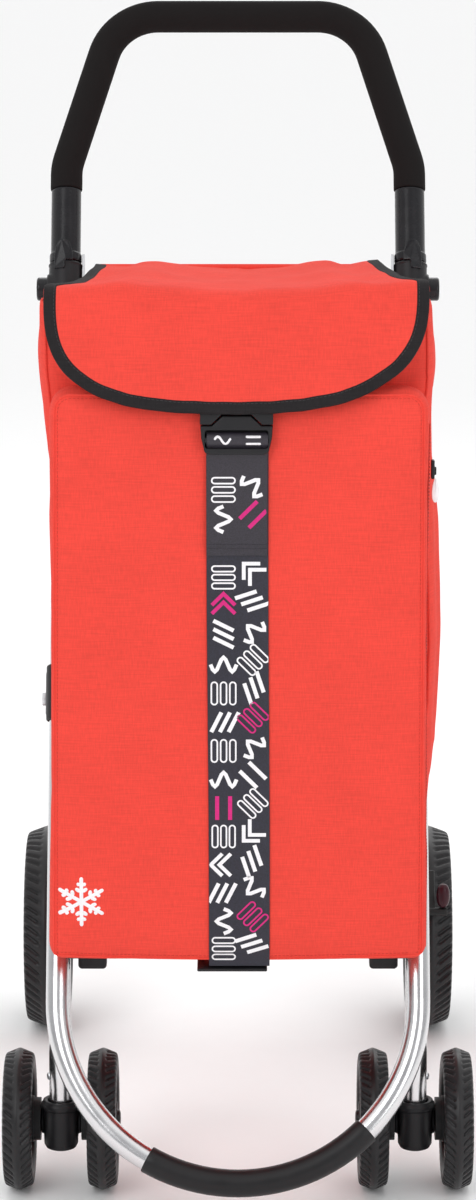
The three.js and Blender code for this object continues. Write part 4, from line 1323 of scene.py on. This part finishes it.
def add_zip_slider():
    """The slider that runs on the teeth, with its pull tab hanging in front."""
    low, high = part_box("zip_slider")
    x, y, z = high.x / MM - 6.0, (low.y + high.y) / 2 / MM, high.z / MM
    runner = block((x - 1.4, y - 4, z - 17), (x + 1.6, y + 4, z - 1), 1.0, "X")
    bridge = block((x + 1, y - 1.2, z - 14), (x + 3.2, y + 1.2, z - 7), 0.8, "X")
    piece = cast("zip_runner", Matrix.Identity(4), [runner, bridge], [], 0.3, 3)
    finished(piece, "plastic", "zip", "zip_metal", "zip_slider")
    outline = []
    for i in range(40):
        turn = 2 * math.pi * i / 40
        width = 2.9 - 0.9 * math.cos(turn)
        outline.append((x + 2.2 + width * math.sin(turn), z - 26 + 10.5 * math.cos(turn)))
    tab = solid("zip_tab", [set_down(slab(outline, "Y", (y - 6.4, y - 4.4), 0.7), Matrix.Identity(4))])
    finished(tab, "zip", "zip", "zip_metal")


# ------------------------------------------------------------------ flap
FLAP_HALF = {1: 159.0, -1: 161.5}
FLAP_SIDE = [FLAP_HINGE, (120, 800), (40, 804), (-20, 808), (-42, 808.5), (-53, 804), (-60, 795),
             (-70, 776), (-84, 749), (-95, 728), (-104, 709)]  # the flap seen from the right
SIDE_CURVE = curve_through(FLAP_SIDE, 12)
FOLD_Y, FOLD_Z = -46, 807.6


def crossing(points, axis, value, otherwise):
    """The first place where a falling curve passes a value of one coordinate."""
    for here, there in zip(points, points[1:]):
        if here[axis] >= value >= there[axis] and here[axis] > there[axis]:
            return here.lerp(there, (here[axis] - value) / (here[axis] - there[axis]))
    return otherwise


def flap_edge_height(x):
    """The height of the flap's curved lower edge; the left side hangs fuller than the right."""
    side = 1 if x > 0 else -1
    power = 2.45 if side > 0 else 2.9
    share = min(1.0, abs(x) / FLAP_HALF[side])
    return 712.5 + 92 * (1 - (1 - share ** power) ** (1 / power))


def flap_middle(column, share):
    """The flap's smooth form before its waves, as (across, behind, up)."""
    x = column * FLAP_HALF[1 if column > 0 else -1]
    top_share = 0.72
    if share < top_share:
        y = FLAP_HINGE[0] - (FLAP_HINGE[0] - FOLD_Y) * share / top_share
        place = crossing(SIDE_CURVE, 0, y, SIDE_CURVE[-1])
    else:
        end_z = min(flap_edge_height(x), 804.5)
        z = min(FOLD_Z, FOLD_Z + (end_z - FOLD_Z) * (share - top_share) / (1 - top_share))
        hanging = [p for p in SIDE_CURVE if p.x < -43]
        place = crossing(hanging, 1, z, Vector((FOLD_Y, 807.9)))
    return x, place.x, place.y


def flap_point(column, share):
    """A place on the flap: column from -1 to 1 across, share from 0 at the hinge to 1 at the edge."""
    def ripples(u, v, seed, height):
        return noise.noise(Vector((u, v, seed))) * height

    x, y, z = flap_middle(column, share)
    ridge = 4.2 * math.exp(-(((abs(x) - 98) / 26) ** 2)) + (5.0 * smoothstep(112, 150, x) if x > 0 else 0.5)
    hollow = -2.2 * math.exp(-(((x - 14) / 48) ** 2))
    over = smoothstep(-75, -44, y)
    lift = over * (ridge + hollow + ripples(x / 62, y / 70, 3.1, 3.4))
    lift += ripples(x / 19, y / 60, 7.7, 1.5) * 0.6
    ripple = (1 - over) * (ripples(x / 34, z / 60, 1.3, 2.6) + ripples(x / 13, z / 34, 5.1, 0.8))
    return Vector((x * narrowing(y - FOLD_Y), y - ripple, z + lift))


def flap_grid(columns=150, rows=130):
    grid = []
    for j in range(rows + 1):
        row = []
        for i in range(columns + 1):
            column = math.sin(math.pi / 2 * (2 * i / columns - 1))
            row.append(local(*flap_point(column, j / rows)))
        grid.append(row)
    return grid


def add_flap():
    """The flap as one cloth sheet, with its black binding and the binding's stitches."""
    grid = flap_grid()
    rows, columns = len(grid), len(grid[0])
    vertices = [place for row in grid for place in row]
    faces = []
    for j in range(rows - 1):
        for i in range(columns - 1):
            k = j * columns + i
            faces.append((k, k + columns, k + columns + 1, k + 1))
    piece = plain_mesh("lid_flap", vertices, faces)
    middle_skin = skin_of(piece)
    shell = piece.modifiers.new("shell", "SOLIDIFY")
    shell.thickness = 2.4 * MM
    shell.offset = 0
    baked(piece)
    tidy_normals(piece, 60)
    finished(piece, "red", "flap", "red_fabric", "flap")
    outline = [grid[j][-1] for j in range(0, rows, 2)] + [grid[-1][i] for i in range(columns - 2, 0, -1)]
    outline += [grid[j][0] for j in range(rows - 1, -1, -2)]
    hem = add_flap_binding(outline, middle_skin)


def spaced(path, gap):
    """The path resampled to an even gap."""
    result, carried = [path[0]], 0.0
    for here, there in zip(path, path[1:]):
        step = (there - here).length
        while step > 0 and carried + step >= gap:
            here = here.lerp(there, (gap - carried) / step)
            result.append(here)
            step = (there - here).length
            carried = 0.0
        carried += step
    result.append(path[-1])
    return result


def nearest(skin, place, like):
    """The nearest place on a skin and the direction off it, on the same side as another direction."""
    foot, normal = skin.find_nearest(place)[:2]
    return foot, (-normal if normal.dot(like) < 0 else normal)


def add_flap_binding(outline, skin):
    """The tape folded over the flap's edge, flat on both faces, and its row of stitches."""
    path = spaced(outline, 2.6 * MM)
    tape = rounded((-1.0, -2.2), (9.6, 2.2), 1.3, 3)
    section = [(w, h * (1 - 0.22 * smoothstep(5, 9.6, w))) for w, h in tape]
    outward = Vector((0, -0.5, 1))
    loops, stitch_line = [], []
    for i, place in enumerate(path):
        inside = Vector((place.x * 0.93, place.y, place.z + 4 * MM))
        normal = nearest(skin, inside, outward)[1]
        inward = direction(path, i, 2).cross(normal).normalized()
        ring = []
        for w, h in section:
            foot, off = place + inward * (w * MM), normal
            if w > 0.5:
                foot, off = nearest(skin, foot, normal)
            ring.append(foot + off * (h * MM))
        loops.append(ring)
        foot, off = nearest(skin, place + inward * 7.6 * MM, normal)
        stitch_line.append(foot + off * (1.75 * MM))
    hem = solid("flap_binding", [rings(loops)], 60)
    finished(hem, "binding", "flap", "black_plastic")
    stitches = stitched("binding_stitches", stitch_line, 3.6, 2.5, 0.3)
    finished(stitches, "thread", "flap", "black_plastic")
    return [hem, stitches]


# ------------------------------------------------------------------ strap and buckle
STRAP_X = 0.4
FOLD_END = 590  # where the strap's doubled top ends


def row_place():
    """Where the parts on the bag's front go: drawn about the front axle's line on the floor."""
    return upright(0, FRONT_AXLE.y, 0)


def add_buckle():
    """The clip: a frame with a bar on the strap, and a holder on the flap above it."""
    def plate(outline, span, edge):
        return slab([(x - 1.2, z) for x, z in outline], "Y", span, edge)

    lower = arc(22.6, 681, 4.6, -78, 0, 5) + [(29.4, 690), (30.2, 700.8), (20.6, 700.8), (11.6, 709.4)]
    lower += [(-x, z) for x, z in reversed(lower)]
    window = plate(rounded((-26.4, 681.6), (26.4, 697.4), 2.2), (-120, -89.7), 0)
    piece = cast("buckle_tongue", row_place(), [plate(lower, (-97.2, -88), 1.3)], [window], 0.35, 4)
    bar = solid("buckle_bar", [set_down(rod("X", 3.3, (-27.6, 25.2), -93.4, 688.6, 0.4, 40), row_place())])
    finished(piece, "plastic", "frame", "black_plastic", "strap_clip")
    finished(bar, "gloss", "frame", "black_plastic")
    upper = [(30.4, 702.0), (30.4, 722), (-30.4, 722), (-30.4, 702.0), (-21.2, 702.0), (-12.2, 710.6),
             (12.2, 710.6), (21.2, 702.0)]
    face = [(x, min(z, 711.4)) for x, z in upper]
    plates = [plate(upper, (-93, -88), 1.0), plate(face, (-97.2, -90), 0.4)]
    holder = cast("buckle_holder", row_place(), plates, [], 0.35, 3)
    finished(holder, "plastic", "flap", "black_plastic", "flap_clip")


def add_strap(skin):
    """The webbing down the pocket, doubled at its top and sewn; it loops over the buckle's bar."""
    across = Vector((1, 0, 0))
    lower = []
    for z in range(686, 229, -6):
        sway = 1.6 * smoothstep(600, 300, z) - 0.9
        place = on_front(skin, STRAP_X + sway, max(z, 236), 1.05)
        lower.append(Vector((place.x, place.y, z * MM)))
    under = [local(STRAP_X + 0.7, y, 229.2) for y in range(-80, -46, 6)]
    doubled = [place - Vector((0.5 * MM, 2.0 * MM, 0)) for place in lower[1:17]]
    tucked = [local(STRAP_X - 0.9, y, z) for y, z in arc(-92.4, 688.9, 5.4, 60, 240, 12)]
    main = strip(lower + under, across, 26, 1.5)
    top_layer = strip(tucked + doubled[1:], across, 25.6, 1.5)
    piece = solid("front_strap", [main], 50)
    finished(piece, "webbing", "frame", "strap_webbing", "bag_strap")
    fold = solid("strap_fold", [top_layer], 50)
    finished(fold, "charcoal", "frame", "strap_webbing")
    row = [doubled[-2] + Vector((x * MM, -0.95 * MM, 0)) for x in range(-24, 25, 2)]
    for name, up in (("strap_stitches", 0), ("strap_stitches_two", 3.4)):
        line = [place + Vector((0, 0, up * MM)) for place in row]
        finished(stitched(name, line, 3.0, 2.1, 0.3), "charcoal", "frame", "strap_webbing")
    anchor = block((-35, -87.5, 225.4), (25, -50, 227.8), 1.0)
    base = solid("strap_anchor", [set_down(anchor, row_place())])
    finished(base, "plastic", "frame", "black_plastic")
    return piece, fold


def stroke(points, width):
    """An open line given width: its outline, corner by corner."""
    left, right = [], []
    for i, point in enumerate(points):
        here = Vector(point)
        before = Vector(points[max(i - 1, 0)])
        after = Vector(points[min(i + 1, len(points) - 1)])
        ahead = (after - before).normalized()
        out = Vector((-ahead.y, ahead.x))
        first = (here - before).normalized() if i else ahead
        spread = width / 2 / max(0.55, abs(ahead.dot(first)))
        left.append(here + out * spread)
        right.append(here - out * spread)
    return left + right[::-1]


def printed(outlines, skin, height):
    """Flat printed shapes laid on a skin: outlines of (x, z) in millimetres, each with a hole or None."""
    def laid(ring, lift):
        return [on_front(skin, x, z, lift) for x, z in ring]

    parts = []
    for outline, hole in outlines:
        if hole is None:
            outline = divided(outline, 2.4)
            parts.append(rings([laid(outline, -0.1), laid(outline, height)]))
        else:
            loops = [laid(outline, -0.1), laid(outline, height), laid(hole, height), laid(hole, -0.1)]
            parts.append(rings(loops, closed=True))
    return parts


def bead(line, skin, radius, proud):
    """A printed line that follows a curved skin: a bar sunk in it, of which a sliver stands proud."""
    path = [on_front(skin, x, z, proud - radius) for x, z in line]
    return tube(path, radius * MM, 20, radius * 0.9 * MM)


def capsule(x, z, width, height):
    """A long oval about a place, drawn as a line: its outline and its hole."""
    line = 1.1
    corner = min(width, height) / 2 - 0.05
    outer = rounded((x - width / 2, z - height / 2), (x + width / 2, z + height / 2), corner, 5)
    inner = rounded((x - width / 2 + line, z - height / 2 + line),
                    (x + width / 2 - line, z + height / 2 - line), corner - line, 5)
    return outer, inner


def turned_about(shapes, x, z, degrees, grow):
    """Printed outlines turned about a place and made larger."""
    cosine, sine = math.cos(math.radians(degrees)) * grow, math.sin(math.radians(degrees)) * grow

    def turned_ring(ring):
        return ring and [(x + (u - x) * cosine - (v - z) * sine, z + (u - x) * sine + (v - z) * cosine)
                         for u, v in ring]

    return [(turned_ring(outline), turned_ring(hole)) for outline, hole in shapes]


def strap_marks(x, z, kind):
    """One motif of the strap's print: capsules, bars, chevrons, slashes or a wave."""
    if kind == "capsules":
        return [capsule(x, z + step, 17, 5.2) for step in (-6.4, 0, 6.4)]
    if kind == "uprights":
        return [capsule(x + step, z, 5.0, 17) for step in (-6, 0, 6)]
    width = 2.8 if kind in ("bars", "slashes") else 2.6
    if kind == "bars":
        lines = [[(x - 8.5, z + up), (x + 8.5, z + up)] for up in (-4.5, 4.5)]
    elif kind == "chevron":
        lines = [[(x - 8, z - 5 + up), (x, z + 3 + up), (x + 8, z - 5 + up)] for up in (0, 6)]
    elif kind == "slashes":
        lines = [[(x - 7 + step, z - 7), (x + step, z + 7)] for step in (-1.5, 4.5, 10.5)]
    else:
        lines = [[(x - 9 + 1.5 * i, z + 5 * math.sin(math.pi * i / 4)) for i in range(13)]]
    return [(stroke(line, width), None) for line in lines]


def add_print(strap, fold):
    """Two columns of motifs down the webbing, white with a pink one here and there."""
    kinds = ["capsules", "wave", "slashes", "chevron", "uprights", "bars", "wave", "capsules", "slashes"]
    skins = {"upper": skin_of(fold), "lower": skin_of(strap)}
    marks = {(colour, layer): [] for colour in ("white", "pink") for layer in skins}
    number = 0
    for z in range(246, 670, 25):
        for x in (-12.2, 12.6):
            if abs(z - FOLD_END) > 12:
                kind = kinds[(number * 5 + (3 if x > 0 else 0)) % len(kinds)]
                centre = z + (4 if x > 0 else 0)
                key = ("pink" if number % 7 == 3 else "white", "upper" if z > FOLD_END else "lower")
                motif = strap_marks(x, centre, kind)
                marks[key] += turned_about(motif, x, centre, 45 * ((number * 3) % 8), 1.22)
            number += 1
    for colour, material in (("white", "print"), ("pink", "pink_print")):
        parts = []
        for layer, skin in skins.items():
            parts += printed(marks[colour, layer], skin, 0.2)
        if colour == "white":
            wave = [(-20 + 0.8 * i, 689 + 2.6 * math.sin(math.pi * i / 8)) for i in range(19)]
            bars = [[(6 + 0.9 * i, z) for i in range(16)] for z in (686.4, 691.4)]
            parts += [bead(line, skins["upper"], 1.5, 0.35) for line in (wave, *bars)]
        finished(solid(f"strap_print_{colour}", parts), material, "frame", "strap_webbing")


def add_snow_mark(skin):
    """A six-armed frost mark on the pocket's lower left corner."""
    centre = Vector((-133.7, 287.7))
    arms = []
    for i in range(6):
        turn = math.radians(60 * i + 30)
        out = Vector((math.cos(turn), math.sin(turn)))
        side = Vector((-out.y, out.x))
        lines = [[centre - out * 3, centre + out * 23]]
        for reach, length in ((9.5, 7.5), (15, 6)):
            foot = centre + out * (reach - 1.5)
            lines += [[foot, foot + (out * 0.8 + side * way).normalized() * length] for way in (1, -1)]
        for start, end in lines:
            arms.append(bead([start.lerp(end, j / 8) for j in range(9)], skin, 3.0, 0.5))
    finished(solid("frost_mark", arms), "print", "frame", "strap_webbing")


# ------------------------------------------------------------------ everything else, and the whole
def paint_cad():
    """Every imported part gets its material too, whether or not a better mesh stands for it."""
    slots = {
        "aluminium_tube": "aluminium", "bare_steel": "steel", "black_steel": "black_steel",
        "black_plastic": "plastic", "handle_foam": "foam", "tyre_rubber": "tyre", "red_fabric": "red",
        "strap_webbing": "webbing", "base_board": "board", "pedal_plastic": "pedal", "zip_metal": "zip",
    }
    for part in frame["record"]["subparts"]:
        cad = bpy.data.objects[part["node"]]
        cad.data.materials.clear()
        cad.data.materials.append(materials[slots[part["material_slot"]]])


add_camera()
make_materials()
add_studio()
paint_cad()

add_main_frame()
add_bow_grip()
add_knuckles()
add_buttons()
add_handle_ends()
add_handle_grip()
add_small_steel()
add_leg_brackets()
add_caster_legs()
add_caster_housings()
add_front_wheels()
add_rear_wheels()
add_rear_frame()
add_brake()
add_bag_rest()

add_bag_piping(skin_of(add_bag_body()))
add_flap_hinge()
add_hanging_loops()
pocket_skin = skin_of(add_pocket())
add_pocket_piping(pocket_skin)
add_zip(pocket_skin)
add_zip_slider()
add_flap()
add_buckle()
add_print(*add_strap(pocket_skin))
add_snow_mark(pocket_skin)
